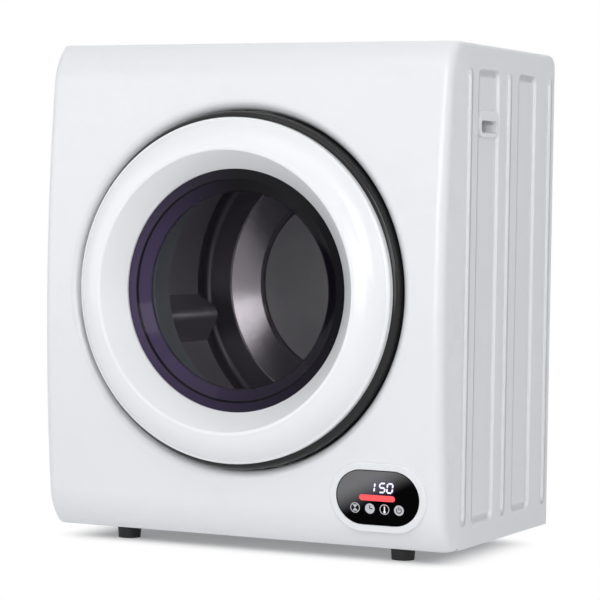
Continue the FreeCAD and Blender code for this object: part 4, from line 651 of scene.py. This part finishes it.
@dataclass(frozen=True)
class LitMark(Finish):
    """Lit or printed mark on the display."""

    name: str = "mark"
    light: float = 1.0

    def label(self) -> str:
        """Name of the mark's own material."""
        return self.name + "_mark"

    def surface(self, g: Graph) -> Sock:
        """Even light with a slight unevenness of the diffuser.

        Args:
            g: The material's graph.

        Returns:
            The shader.
        """
        mottle = g.noise(350.0, 2.0)
        return g.principled({
            "Base Color": self.shades(g, mottle, 0.25, 0.3),
            "Roughness": self.roughness + mottle * 0.05,
            "Emission Color": self.shades(g, mottle, 0.9, 1.06), "Emission Strength": self.light})


FINISHES: dict[str, Finish] = {f.slot: f for f in (
    Moulding("white_moulding", (0.83, 0.845, 0.865), 0.28),
    Moulding("door_white", (0.9, 0.91, 0.925), 0.24),
    PressedSheet("white_steel", (0.81, 0.825, 0.845), 0.33, grain=1100.0, depth=0.00003, coat=0.2),
    Moulding("grey_moulding", (0.5, 0.51, 0.53), 0.45, grain=900.0, coat=0.0),
    Moulding("black_moulding", (0.022, 0.022, 0.024), 0.45, grain=900.0, coat=0.0),
    Moulding("pale_moulding", (0.34, 0.38, 0.4), 0.4, grain=900.0, coat=0.1),
    Moulding("dark_moulding", (0.085, 0.075, 0.095), 0.42, grain=900.0, coat=0.1),
    ZincSheet("galvanised", (0.62, 0.64, 0.66), 0.42),
    BrushedSteel("steel", (0.6, 0.6, 0.62), 0.3, lines=(700.0, 60.0, 700.0)),
    BrushedSteel("drum_steel", (0.65, 0.615, 0.66), 0.34, lines=(1300.0, 18.0, 1300.0), contrast=0.06,
                 metallic=0.55),
    PressedBack("pressed_back", (0.5, 0.462, 0.51), 0.19),
    BrushedSteel("heater", (0.68, 0.68, 0.69), 0.35, lines=(60.0, 60.0, 900.0)),
    Plating("smoked_chrome", (0.012, 0.012, 0.013), 0.14),
    TintedWindow("tinted_window", (0.062, 0.044, 0.1), 0.05),
    Rubber("grey_rubber", (0.1, 0.1, 0.105), 0.65),
    Rubber("black_rubber", (0.008, 0.008, 0.009), 0.6),
    Felt("felt", (0.32, 0.31, 0.28), 0.95),
    FilterMesh("filter_mesh", (0.86, 0.8, 0.88), 0.3),
    CastIron("motor_iron", (0.04, 0.04, 0.043), 0.55),
    CastIron("bronze", (0.42, 0.27, 0.1), 0.4, metallic=0.7),
    CircuitBoard("board", (0.012, 0.09, 0.035), 0.4),
    LensGloss("black_gloss", (0.0009, 0.0009, 0.0011), 0.08),
)}


OWN_FINISH: dict[str, str] = {"drum_back": "pressed_back", "door_ring": "door_white"}


def add_object(name: str, data: bpy.types.ID) -> bpy.types.Object:
    """Put a new object into the scene.

    Args:
        name: The object's name.
        data: Its mesh, camera or lamp.

    Returns:
        The new object.
    """
    made = bpy.data.objects.new(name, data)
    bpy.context.scene.collection.objects.link(made)
    return made


def finished(bm: bmesh.types.BMesh, name: str) -> bpy.types.Mesh:
    """Turn a drawn shape into a plain mesh whose faces point outwards.

    Args:
        bm: The drawn shape.
        name: The mesh's name.

    Returns:
        The mesh.
    """
    bmesh.ops.recalc_face_normals(bm, faces=bm.faces)
    mesh = bpy.data.meshes.new(name)
    bm.to_mesh(mesh)
    bm.free()
    return mesh


def new_piece(name: str, mesh: bpy.types.Mesh, body: str, slot: str,
              material: bpy.types.Material | None = None) -> bpy.types.Object:
    """Add a finished mesh to the scene as a piece of a body.

    Args:
        name: The piece's name.
        mesh: Its mesh, with its place in it.
        body: The CAD body that it rides on.
        slot: The record's material slot.
        material: A finish of its own, or none for the slot's.

    Returns:
        The new object.
    """
    made = add_object(name, mesh)
    if not mesh.materials:
        mesh.materials.append(None)
    for i in range(len(mesh.materials)):
        mesh.materials[i] = material or FINISHES[slot].material()
    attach(made, body)
    log.info("piece %s: %d faces on %s", name, len(mesh.polygons), body)
    return made


@dataclass
class Recipe:
    """A geometry node tree with named inputs, grown on a set of points."""

    name: str
    tree: bpy.types.NodeTree | None = None

    def inputs(self) -> dict[str, str]:
        """Names and socket types of the tree's inputs."""
        raise NotImplementedError

    def fill(self, g: Graph, given: dict[str, Sock]) -> Sock:
        """Lay out the tree between its inputs and its output."""
        raise NotImplementedError

    def make(self) -> None:
        """Build the tree once."""
        self.tree = bpy.data.node_groups.new(self.name, "GeometryNodeTree")
        for name, kind in {"Geometry": "NodeSocketGeometry", **self.inputs()}.items():
            self.tree.interface.new_socket(name, in_out="INPUT", socket_type=kind)
        self.tree.interface.new_socket("Geometry", in_out="OUTPUT", socket_type="NodeSocketGeometry")
        graph = Graph(self.tree)
        entry = graph.tree.nodes.new("NodeGroupInput")
        given = {s.name: Sock(graph, s) for s in entry.outputs if s.name}
        real = graph.node("GeometryNodeRealizeInstances", inputs={"Geometry": self.fill(graph, given)})
        dressed = graph.node("GeometryNodeSetMaterial", inputs={
            "Geometry": real, "Material": given["Finish"]})
        graph.node("NodeGroupOutput", inputs={"Geometry": dressed})

    def grow(self, points: Iterable[Sequence[float]], values: dict[str, Any]) -> bpy.types.Mesh:
        """Run the tree on points and keep the result as a plain mesh.

        Args:
            points: Where the tree's instances go.
            values: Its named inputs.

        Returns:
            The realized mesh.
        """
        if self.tree is None:
            self.make()
        seed = bpy.data.meshes.new(self.name + "_points")
        seed.from_pydata([tuple(p) for p in points], [], [])
        carrier = add_object(self.name + "_points", seed)
        modifier = carrier.modifiers.new("grow", "NODES")
        modifier.node_group = self.tree
        ids = {s.name: s.identifier for s in self.tree.interface.items_tree
               if s.item_type == "SOCKET" and s.in_out == "INPUT"}
        for key, value in values.items():
            modifier[ids[key]] = value
        graph = bpy.context.evaluated_depsgraph_get()
        made = bpy.data.meshes.new_from_object(carrier.evaluated_get(graph))
        carrier.modifiers.remove(modifier)
        bpy.data.objects.remove(carrier)
        return made


@dataclass
class ScrewRecipe(Recipe):
    """Cross-recess pan head screws, with the shares of a head's size."""

    rim_share: float = 0.45
    crown_share: float = 0.72
    cross_share: float = 1.15
    facets: int = 28

    def inputs(self) -> dict[str, str]:
        """Sizes of a screw and the way that its head faces."""
        sizes = ("Head Radius", "Head Height", "Shank Radius", "Shank Length", "Recess Width",
                 "Recess Depth")
        return {**{n: "NodeSocketFloat" for n in sizes}, "Facing": "NodeSocketVector",
                "Finish": "NodeSocketMaterial"}

    def fill(self, g: Graph, given: dict[str, Sock]) -> Sock:
        """Head with a cross cut out of it, on a shank, at each point.

        Args:
            g: The tree's graph.
            given: The tree's inputs.

        Returns:
            The instances.
        """
        radius, height = given["Head Radius"], given["Head Height"]
        thin, long = given["Shank Radius"], given["Shank Length"]
        edge = height * self.rim_share
        rim = self.turned(g, radius, radius, edge, 0.0)
        crown = self.turned(g, radius * self.crown_share, radius, height - edge, edge)
        shank = self.turned(g, thin, thin, long, long * -1.0)
        head = g.node("GeometryNodeMeshBoolean", {"operation": "UNION", "solver": "EXACT"}, {
            "Mesh 2": [rim, crown]})
        cutters = [self.arm(g, given, turn) for turn in (0.0, math.pi / 2)]
        head = g.node("GeometryNodeMeshBoolean", {"operation": "DIFFERENCE", "solver": "EXACT"}, {
            "Mesh 1": head, "Mesh 2": cutters})
        screw = g.node("GeometryNodeJoinGeometry", inputs={"Geometry": [head, shank]})
        turn = g.node("FunctionNodeAlignRotationToVector", {"axis": "Z"}, {"Vector": given["Facing"]})
        return g.node("GeometryNodeInstanceOnPoints", inputs={
            "Points": given["Geometry"], "Instance": screw, "Rotation": turn})

    def turned(self, g: Graph, top: Any, bottom: Any, depth: Any, rise: Any) -> Sock:
        """Make a frustum.

        Args:
            g: The tree's graph.
            top: Its upper radius.
            bottom: Its lower radius.
            depth: Its height.
            rise: The height that it stands on.

        Returns:
            The frustum.
        """
        cone = g.node("GeometryNodeMeshCone", inputs={
            "Vertices": self.facets, "Radius Top": top, "Radius Bottom": bottom, "Depth": depth})
        lift = g.node("ShaderNodeCombineXYZ", inputs={"Z": rise})
        return g.node("GeometryNodeTransform", inputs={"Geometry": cone, "Translation": lift})

    def arm(self, g: Graph, given: dict[str, Sock], turn: float) -> Sock:
        """Make one bar of the cross recess.

        Args:
            g: The tree's graph.
            given: The tree's inputs.
            turn: The bar's angle about the screw.

        Returns:
            The bar, half in the head.
        """
        size = g.node("ShaderNodeCombineXYZ", inputs={
            "X": given["Head Radius"] * self.cross_share, "Y": given["Recess Width"],
            "Z": given["Recess Depth"] * 2.0})
        bar = g.node("GeometryNodeMeshCube", inputs={"Size": size})
        lift = g.node("ShaderNodeCombineXYZ", inputs={"Z": given["Head Height"]})
        return g.node("GeometryNodeTransform", inputs={
            "Geometry": bar, "Translation": lift, "Rotation": (0.0, 0.0, turn)})


@dataclass
class ScreenRecipe(Recipe):
    """Round filter mesh with fine support wires on it."""

    facets: int = 120
    wire_sides: int = 3

    def inputs(self) -> dict[str, str]:
        """Sizes of the screen and its wires."""
        return {"Radius": "NodeSocketFloat", "Pitch": "NodeSocketFloat", "Wire Radius": "NodeSocketFloat",
                "Finish": "NodeSocketMaterial"}

    def fill(self, g: Graph, given: dict[str, Sock]) -> Sock:
        """Grid of wires trimmed to a disc, half sunk in a thin sheet.

        Args:
            g: The tree's graph.
            given: The tree's inputs.

        Returns:
            The screen at each point.
        """
        width = given["Radius"] * 2.0
        count = g.node("FunctionNodeFloatToInt", inputs={"Float": width / given["Pitch"]})
        grid = g.node("GeometryNodeMeshGrid", inputs={
            "Size X": width, "Size Y": width, "Vertices X": count, "Vertices Y": count})
        spot = g.node("GeometryNodeInputPosition")
        reach = g.node("ShaderNodeVectorMath", {"operation": "LENGTH"}, {"Vector": spot}, "Value")
        outside = reach.apply("GREATER_THAN", reach, given["Radius"])
        trimmed = g.node("GeometryNodeDeleteGeometry", {"domain": "POINT"}, {
            "Geometry": grid, "Selection": outside})
        lines = g.node("GeometryNodeMeshToCurve", inputs={"Mesh": trimmed})
        ring = g.node("GeometryNodeCurvePrimitiveCircle", inputs={
            "Resolution": self.wire_sides, "Radius": given["Wire Radius"]})
        wires = g.node("GeometryNodeCurveToMesh", inputs={"Curve": lines, "Profile Curve": ring})
        sheet = g.node("GeometryNodeMeshCylinder", inputs={
            "Vertices": self.facets, "Radius": given["Radius"], "Depth": given["Wire Radius"] * 2.0})
        both = g.node("GeometryNodeJoinGeometry", inputs={"Geometry": [wires, sheet]})
        upright = g.node("GeometryNodeTransform", inputs={
            "Geometry": both, "Rotation": (math.pi / 2, 0.0, 0.0)})
        return g.node("GeometryNodeInstanceOnPoints", inputs={
            "Points": given["Geometry"], "Instance": upright})


SCREWS = ScrewRecipe("cross_recess_screws")
SCREEN = ScreenRecipe("woven_screen")


def islands(node: str, near: float = 1e-6) -> list[list[Vector]]:
    """Split a CAD node's corners into its separate solids.

    Args:
        node: The node's name.
        near: Corners as near as this are one.

    Returns:
        The corners of each solid.
    """
    bm = bmesh.new()
    bm.from_mesh(frame["nodes"][node].data)
    bmesh.ops.remove_doubles(bm, verts=bm.verts, dist=near)
    met, found = set(), []
    for first in bm.verts:
        if first in met:
            continue
        met.add(first)
        stack, group = [first], []
        while stack:
            corner = stack.pop()
            group.append(corner.co.copy())
            for edge in corner.link_edges:
                other = edge.other_vert(corner)
                if other not in met:
                    met.add(other)
                    stack.append(other)
        found.append(group)
    bm.free()
    return found


def ring_mesh(name: str, radius: float, bead: float, depth: float, rounds: int = 180,
              sides: int = 12) -> bpy.types.Mesh:
    """Round ring about the drum's axis.

    Args:
        name: The mesh's name.
        radius: From the axis to the middle of the bead.
        bead: Half of the bead's thickness.
        depth: Where the ring lies along Y.
        rounds: Steps round the axis.
        sides: Steps round the bead.

    Returns:
        The closed mesh.
    """
    bm = bmesh.new()
    loops = []
    for i in range(rounds):
        angle = 2 * math.pi * i / rounds
        loop = []
        for j in range(sides):
            turn = 2 * math.pi * j / sides
            reach = radius + bead * math.cos(turn)
            loop.append(bm.verts.new((reach * math.cos(angle), depth + bead * math.sin(turn),
                                      AXIS_HEIGHT + reach * math.sin(angle))))
        loops.append(loop)
    for i in range(rounds):
        here, there = loops[i], loops[(i + 1) % rounds]
        for j in range(sides):
            k = (j + 1) % sides
            bm.faces.new((here[j], here[k], there[k], there[j])).smooth = True
    return finished(bm, name)


@dataclass
class ScrewRow:
    """Screws of one kind in one CAD node, measured from it and made with a cross recess."""

    node: str
    body: str
    way: Way
    near: float = 0.0002
    recess_width: float = 0.28
    recess_depth: float = 0.55

    def build(self) -> bpy.types.Object:
        """Measure each solid and grow the screws on their seats.

        Returns:
            The piece that stands for the node.
        """
        facing = Vector(self.way.value)
        seats, sizes = [], {}
        for corners in islands(self.node):
            along = [c.dot(facing) for c in corners]
            low, high = min(along), max(along)
            spans = [[c[i] for c in corners] for i in range(3)]
            centre = Vector([(min(s) + max(s)) / 2 for s in spans])
            reach = [((c - centre) - (c - centre).dot(facing) * facing).length for c in corners]
            head = max(reach)
            under = min(a for a, r in zip(along, reach) if r > head - self.near)
            shank = max(r for a, r in zip(along, reach) if a < low + self.near)
            seats.append(centre + facing * (under - centre.dot(facing)))
            sizes = {"Head Radius": head, "Head Height": high - under, "Shank Radius": shank,
                     "Shank Length": under - low, "Recess Width": head * self.recess_width,
                     "Recess Depth": (high - under) * self.recess_depth}
        mesh = SCREWS.grow(seats, {
            **sizes, "Facing": tuple(facing), "Finish": FINISHES["steel"].material()})
        made = new_piece(self.node + "_cross", mesh, self.body, "steel")
        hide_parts(self.node)
        return made


@dataclass
class SubAssembly:
    """A group of pieces that are dressed and completed together."""

    title: str
    nodes: tuple[str, ...]

    def dress(self) -> None:
        """Give each CAD node the finish of its slot."""
        slots = {row["node"]: row["material_slot"] for row in frame["record"]["subparts"]}
        for name in self.nodes:
            mesh = frame["nodes"][name].data
            mesh.materials.clear()
            finish = OWN_FINISH.get(name, slots[name])
            mesh.materials.append(FINISHES[finish].material())
            log.info("%s: %s in %s", self.title, name, finish)

    def build(self) -> None:
        """Add the pieces that the CAD nodes leave to the looks."""


@dataclass
class Fastened(SubAssembly):
    """A group that screws hold together."""

    rows: tuple[ScrewRow, ...] = ()

    def build(self) -> None:
        """Put the cross-recess screws in place of the plain ones."""
        for row in self.rows:
            row.build()


@dataclass
class Cabinet(Fastened):
    """Casing, base, back and their fasteners."""


@dataclass
class Door(Fastened):
    """Porthole door with its hinge and latch."""


@dataclass
class Drum(SubAssembly):
    """Drum with paddles, lint filter and bearing."""

    screen_radius: float = 0.1165
    screen_pitch: float = 0.0032
    wire_radius: float = 0.0003
    rim_radius: float = 0.16
    rim_bead: float = 0.0013
    rim_depth: float = 0.1253

    def build(self) -> None:
        """Stretch the fine screen over the lint filter's grid and roll the bead on the pocket's rim."""
        low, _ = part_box("lint_filter_cover")
        spot = (0.0, low.y - self.wire_radius, AXIS_HEIGHT)
        threads = FINISHES["filter_mesh"].material()
        mesh = SCREEN.grow([spot], {
            "Radius": self.screen_radius, "Pitch": self.screen_pitch, "Wire Radius": self.wire_radius,
            "Finish": threads})
        new_piece("lint_screen", mesh, "drum", "dark_moulding", threads)
        rim = ring_mesh("pocket_rim_bead", self.rim_radius, self.rim_bead, self.rim_depth)
        new_piece("pocket_rim_bead", rim, "drum", "drum_steel")


@dataclass
class AirPath(SubAssembly):
    """Hot air guide, air pan, fan housing and outlet."""


@dataclass
class Drive(SubAssembly):
    """Motor, belt, idler and fan."""


@dataclass
class ControlLens(SubAssembly):
    """Display cover with its lit digits, bar and touch marks.

    The marks are laid out in millimetres from the middle of the lens.
    """

    centre: Point3 = (0.1823, -0.16218, 0.0795)
    up: Point3 = (0.0, -0.0978, 0.9952)
    face: float = 0.0025
    lift: float = 0.00002
    thick: float = 0.00012
    slant: float = 0.16
    figures: tuple[tuple[str, float], ...] = (("bc", -11.9), ("afgcd", 1.1), ("abcdef", 10.6))
    bar: tuple[float, float, float, float] = (-22.8, 22.0, -0.2, 3.5)
    arc_step: float = 12.0
    icon_radius: float = 6.0
    icon_rim: float = 0.9
    icon_row: float = -12.9
    icons: tuple[float, float, float, float] = (-28.4, -9.8, 8.6, 26.7)

    def build(self) -> None:
        """Lay the lit marks on the face of the lens."""
        white = LitMark("black_gloss", (0.86, 0.83, 1.0), 0.3, name="digit", light=1.0)
        red = LitMark("black_gloss", (0.95, 0.075, 0.085), 0.35, name="bar", light=0.95)
        pale = LitMark("black_gloss", (0.5, 0.5, 0.54), 0.4, name="touch", light=0.8)
        bright = LitMark("black_gloss", (0.85, 0.83, 0.86), 0.4, name="stem", light=0.8)
        dark = LitMark("black_gloss", (0.01, 0.01, 0.012), 0.4, name="hand", light=0.2)
        self.marks("lens_digits", self.digits(), white, 0)
        self.marks("lens_bar", [self.capsule(*self.bar)], red, 0)
        self.marks("lens_touch_marks", self.touch_marks(), pale, 0)
        self.marks("lens_thermometer", self.thermometer(), bright, 0)
        tip = self.plate(self.icons[2], self.icon_row + 3.1, 0.7, 1.3)
        self.marks("lens_thermometer_tip", [tip], red, 0)
        self.marks("lens_touch_signs", self.touch_signs(), dark, 1)

    def marks(self, name: str, shapes: list[list[Point2]], finish: LitMark, layer: int) -> None:
        """Turn flat outlines in millimetres on the lens into thin plates.

        Args:
            name: The piece's name.
            shapes: Outlines in the lens plane.
            finish: The marks' finish.
            layer: How many plates lie under this one.
        """
        up = Vector(self.up)
        out = Vector((1, 0, 0)).cross(up)
        base = Vector(self.centre) + out * (self.face + self.lift + layer * self.thick)
        bm = bmesh.new()
        for shape in shapes:
            flat = [base + Vector((u * MM, 0, 0)) + up * (v * MM) for u, v in shape]
            lower = [bm.verts.new(p) for p in flat]
            upper = [bm.verts.new(p + out * self.thick) for p in flat]
            count = len(shape)
            bm.faces.new(upper)
            bm.faces.new(lower[::-1])
            for i in range(count):
                j = (i + 1) % count
                bm.faces.new((lower[i], lower[j], upper[j], upper[i]))
        new_piece(name, finished(bm, name), "cabinet", finish.slot, finish.material())

    def digits(self) -> list[list[Point2]]:
        """Slanted seven-segment figures of the temperature."""
        return [self.segment(bar, left) for bars, left in self.figures for bar in bars]

    def segment(self, bar: str, left: float, width: float = 8.6, tall: float = 12.6,
                stroke: float = 2.0, gap: float = 0.25, foot: float = 5.9) -> list[Point2]:
        """One bar of a figure.

        Args:
            bar: The bar's letter, a to g.
            left: Left side of the figure.
            width: Width of the figure.
            tall: Height of the figure.
            stroke: Thickness of a bar.
            gap: Space at each end of a bar.
            foot: Bottom of the figure above the lens's middle.

        Returns:
            The bar's outline.
        """
        h = stroke / 2
        lying = {"a": tall - h, "g": tall / 2, "d": h}
        if bar in lying:
            y, x0, x1 = lying[bar], h + gap, width - h - gap
            line = [(x0, y), (x0 + h, y + h), (x1 - h, y + h), (x1, y), (x1 - h, y - h), (x0 + h, y - h)]
        else:
            x = h if bar in "ef" else width - h
            y0, y1 = (h, tall / 2) if bar in "ce" else (tall / 2, tall - h)
            y0, y1 = y0 + gap, y1 - gap
            line = [(x, y0), (x + h, y0 + h), (x + h, y1 - h), (x, y1), (x - h, y1 - h), (x - h, y0 + h)]
        return [(left + u + self.slant * v, foot + v) for u, v in line]

    def capsule(self, left: float, right: float, middle: float, radius: float,
                steps: int = 24) -> list[Point2]:
        """Bar with round ends.

        Args:
            left: Its left end.
            right: Its right end.
            middle: Its middle line.
            radius: Half of its thickness.
            steps: Steps round each end.

        Returns:
            The bar's outline.
        """
        ends = []
        for i in range(steps + 1):
            angle = math.pi * i / steps
            ends.append((right - radius + radius * math.sin(angle), middle + radius * math.cos(angle)))
        return ends + [(left + right - u, 2 * middle - v) for u, v in ends]

    def circle(self, u: float, v: float, radius: float, count: int = 40) -> list[Point2]:
        """Round outline."""
        turns = [2 * math.pi * i / count for i in range(count)]
        return [(u + radius * math.cos(t), v + radius * math.sin(t)) for t in turns]

    def arc(self, u: float, v: float, inner: float, outer: float, start: float = 0.0,
            end: float = 360.0) -> list[list[Point2]]:
        """Ring sector in short plates.

        Args:
            u: Centre across.
            v: Centre up.
            inner: Inner radius.
            outer: Outer radius.
            start: First angle in degrees.
            end: Last angle in degrees.

        Returns:
            The plates' outlines.
        """
        count = max(2, round((end - start) / self.arc_step))
        plates = []
        for i in range(count):
            a, b = (math.radians(start + (end - start) * k / count) for k in (i, i + 1))
            plates.append([(u + r * math.cos(t), v + r * math.sin(t))
                           for r, t in ((inner, a), (outer, a), (outer, b), (inner, b))])
        return plates

    def touch_marks(self) -> list[list[Point2]]:
        """Two rings and two discs along the foot of the lens, with the hourglass.

        Returns:
            The outlines.
        """
        r, v = self.icon_radius, self.icon_row
        timer, clock, heat, power = self.icons
        shapes = [plate for u in (timer, heat) for plate in self.arc(u, v, r - self.icon_rim, r)]
        shapes += [self.circle(clock, v, r), self.circle(power, v, r)]
        for side in (-1, 1):
            shapes.append([(timer, v), (timer - 3.4, v + side * 3.6), (timer + 3.4, v + side * 3.6)])
        return shapes

    def thermometer(self) -> list[list[Point2]]:
        """Stem and bulb."""
        u, v = self.icons[2], self.icon_row
        return [self.plate(u, v - 2.6, 0.8, 5.6), self.circle(u, v - 3.0, 1.5)]

    def touch_signs(self) -> list[list[Point2]]:
        """Clock hands and the power sign, dark on the discs.

        Returns:
            The outlines.
        """
        v = self.icon_row
        _, clock, _, power = self.icons
        hands = [self.plate(clock, v - 0.6, 0.6, 4.6), self.plate(clock + 2.0, v - 0.6, 1.4, 1.2)]
        return hands + [self.plate(power, v + 0.2, 0.6, 4.0)] + self.arc(power, v, 2.4, 3.6, 125, 415)

    def plate(self, middle: float, foot: float, half: float, tall: float) -> list[Point2]:
        """Upright oblong."""
        left, right, top = middle - half, middle + half, foot + tall
        return [(left, foot), (right, foot), (right, top), (left, top)]


@dataclass
class Feet(SubAssembly):
    """Four rubber feet."""


@dataclass(frozen=True)
class StudioFloor(Finish):
    """White floor that keeps the machine's shadow."""

    shade: Point2 = (0.21, 0.085)
    fade: float = 0.075
    glow: float = 0.18

    def surface(self, g: Graph) -> Sock:
        """Matte under the machine, plain white to look at away from it.

        Args:
            g: The material's graph.

        Returns:
            The shader.
        """
        matte = g.node("ShaderNodeBsdfDiffuse", inputs={
            "Color": (*self.colour, 1.0), "Roughness": self.roughness})
        white = g.node("ShaderNodeEmission", inputs={"Color": WHITE, "Strength": 1.0})
        x, y, _ = g.axes()
        across = (abs(x) - self.shade[0]).most(0.0)
        along = (abs(y) - self.shade[1]).most(0.0)
        share = g.seen() * across.diagonal(along).ease(0.0, self.fade, self.glow, 1.0)
        return g.mix(share, matte, white)


@dataclass(frozen=True)
class Lamp:
    """Soft oblong lamp, with its width and height and its power in watts."""

    name: str
    place: Point3
    size: Point2
    power: float
    aim: Point3 = (0.0, 0.0, 0.3)

    def build(self) -> None:
        """Hang the lamp and turn it to its aim."""
        data = bpy.data.lights.new(self.name, "AREA")
        data.shape = "RECTANGLE"
        data.size, data.size_y = self.size
        data.energy = self.power
        made = add_object(self.name, data)
        turn = (Vector(self.place) - Vector(self.aim)).to_track_quat("Z", "Y").to_matrix().to_4x4()
        made.matrix_world = Matrix.Translation(self.place) @ turn


@dataclass
class Studio:
    """White floor and background, soft lamps and the camera."""

    eye: Point3 = (1.3577, -2.8160, 0.4230)
    target: Point3 = (0.0674, -0.1385, 0.3021)
    roll: float = 0.88
    lens: float = 152.34
    sensor: float = 36.0
    ambient: float = 0.49
    ambient_behind: float = 0.17
    ambient_tint: Colour = (0.97, 0.98, 1.0)
    ambient_fade: Point2 = (-0.35, 0.25)
    floor_half: float = 9.0
    ground: StudioFloor = StudioFloor("floor", (0.9, 0.9, 0.91), 0.0)
    lamps: tuple[Lamp, ...] = (
        Lamp("key", (2.0, -2.6, 1.6), (1.1, 1.9), 25.0),
        Lamp("front", (1.0, -3.3, 0.55), (1.2, 1.2), 16.0),
        Lamp("fill", (-2.5, -2.1, 0.7), (3.4, 2.2), 22.0),
        Lamp("side", (3.1, -0.7, 1.1), (1.6, 1.6), 4.0, aim=(0.2, 0.0, 0.3)),
        Lamp("top", (0.2, 1.1, 2.8), (2.6, 2.6), 14.0),
        Lamp("front_top", (0.2, -1.8, 2.4), (2.2, 1.2), 7.0),
    )

    def build(self) -> None:
        """Set up the camera, the world, the floor and the lamps."""
        self.camera()
        self.world()
        self.floor()
        for lamp in self.lamps:
            lamp.build()

    def camera(self) -> None:
        """Place the camera at the photograph's viewpoint."""
        data = bpy.data.cameras.new("view")
        data.sensor_width = self.sensor
        data.lens = self.lens
        made = add_object("view", data)
        back = (Vector(self.eye) - Vector(self.target)).normalized()
        right = Vector((0, 0, 1)).cross(back).normalized()
        up = back.cross(right)
        turn = math.radians(self.roll)
        across = right * math.cos(turn) + up * math.sin(turn)
        rise = up * math.cos(turn) - right * math.sin(turn)
        basis = Matrix((across, rise, back)).transposed()
        made.matrix_world = Matrix.Translation(self.eye) @ basis.to_4x4()
        bpy.context.scene.camera = made

    def world(self) -> None:
        """White to look at, plain soft light on the machine."""
        world = bpy.data.worlds.new("studio")
        bpy.context.scene.world = world
        world.use_nodes = True
        g = Graph(world.node_tree)
        soft = [g.node("ShaderNodeBackground", inputs={
            "Color": (*self.ambient_tint, 1.0), "Strength": s})
                for s in (self.ambient, self.ambient_behind)]
        depth = g.node("ShaderNodeSeparateXYZ", inputs={
            "Vector": g.node("ShaderNodeTexCoord", output="Generated")}, output="Y")
        light = g.mix(depth.ease(*self.ambient_fade), *soft)
        white = g.node("ShaderNodeBackground", inputs={"Color": WHITE, "Strength": 1.0})
        g.end("ShaderNodeOutputWorld", g.mix(g.seen(), light, white))

    def floor(self) -> None:
        """Lay the floor as part of the stage."""
        half = self.floor_half
        corners = [(x * half, y * half, 0.0) for x, y in ((-1, -1), (1, -1), (1, 1), (-1, 1))]
        mesh = bpy.data.meshes.new("floor")
        mesh.from_pydata(corners, [], [(0, 1, 2, 3)])
        mesh.materials.append(self.ground.material())
        add_object("floor", mesh)


def sub_assemblies() -> list[SubAssembly]:
    """The machine's groups of pieces, in building order."""
    return [
        Cabinet("cabinet", (
            "front_panel", "cabinet_wrap", "base_tray", "rear_panel", "rear_panel_screws",
            "rear_inlet_grille", "cord_gland", "foot_screws", "side_grip_right", "side_grip_left"), (
            ScrewRow("rear_panel_screws", "cabinet", Way.BACK),
            ScrewRow("foot_screws", "cabinet", Way.UP))),
        Door("door", (
            "door_ring", "door_trim_ring", "door_window", "door_liner", "door_screws", "door_seal",
            "door_hinge_leaf", "door_hinge_bracket", "door_hinge_pin", "hinge_screws", "door_strike",
            "latch_catch", "door_switch", "door_switch_plunger"), (
            ScrewRow("door_screws", "door", Way.BACK),
            ScrewRow("hinge_screws", "cabinet", Way.FRONT))),
        Drum("drum", (
            "drum_shell", "drum_back", "lint_filter_cover", "drum_shaft", "drum_bearing",
            "bearing_housing", "rear_support", "drum_paddle_1", "drum_paddle_2", "drum_paddle_3",
            "front_felt_ring", "rear_felt_ring")),
        AirPath("air path", (
            "front_air_ring", "rear_air_pan", "hot_air_duct", "heater_element", "fan_scroll",
            "exhaust_elbow", "exhaust_spigot")),
        Drive("drive", (
            "motor_body", "motor_cradle", "motor_shaft", "motor_pulley", "drum_belt", "idler_wheel",
            "idler_arm", "idler_pin", "fan_impeller")),
        ControlLens("control lens", ("control_lens", "control_case", "control_board")),
        Feet("feet", ("foot_front_left", "foot_front_right", "foot_rear_left", "foot_rear_right")),
    ]


def main() -> None:
    """Build the studio, then dress and build every sub-assembly."""
    logging.basicConfig(level=logging.INFO, format="%(name)s %(message)s")
    bpy.context.scene.view_settings.view_transform = "Standard"
    Studio().build()
    for group in sub_assemblies():
        group.dress()
        group.build()


if __name__ == "__main__":
    main()
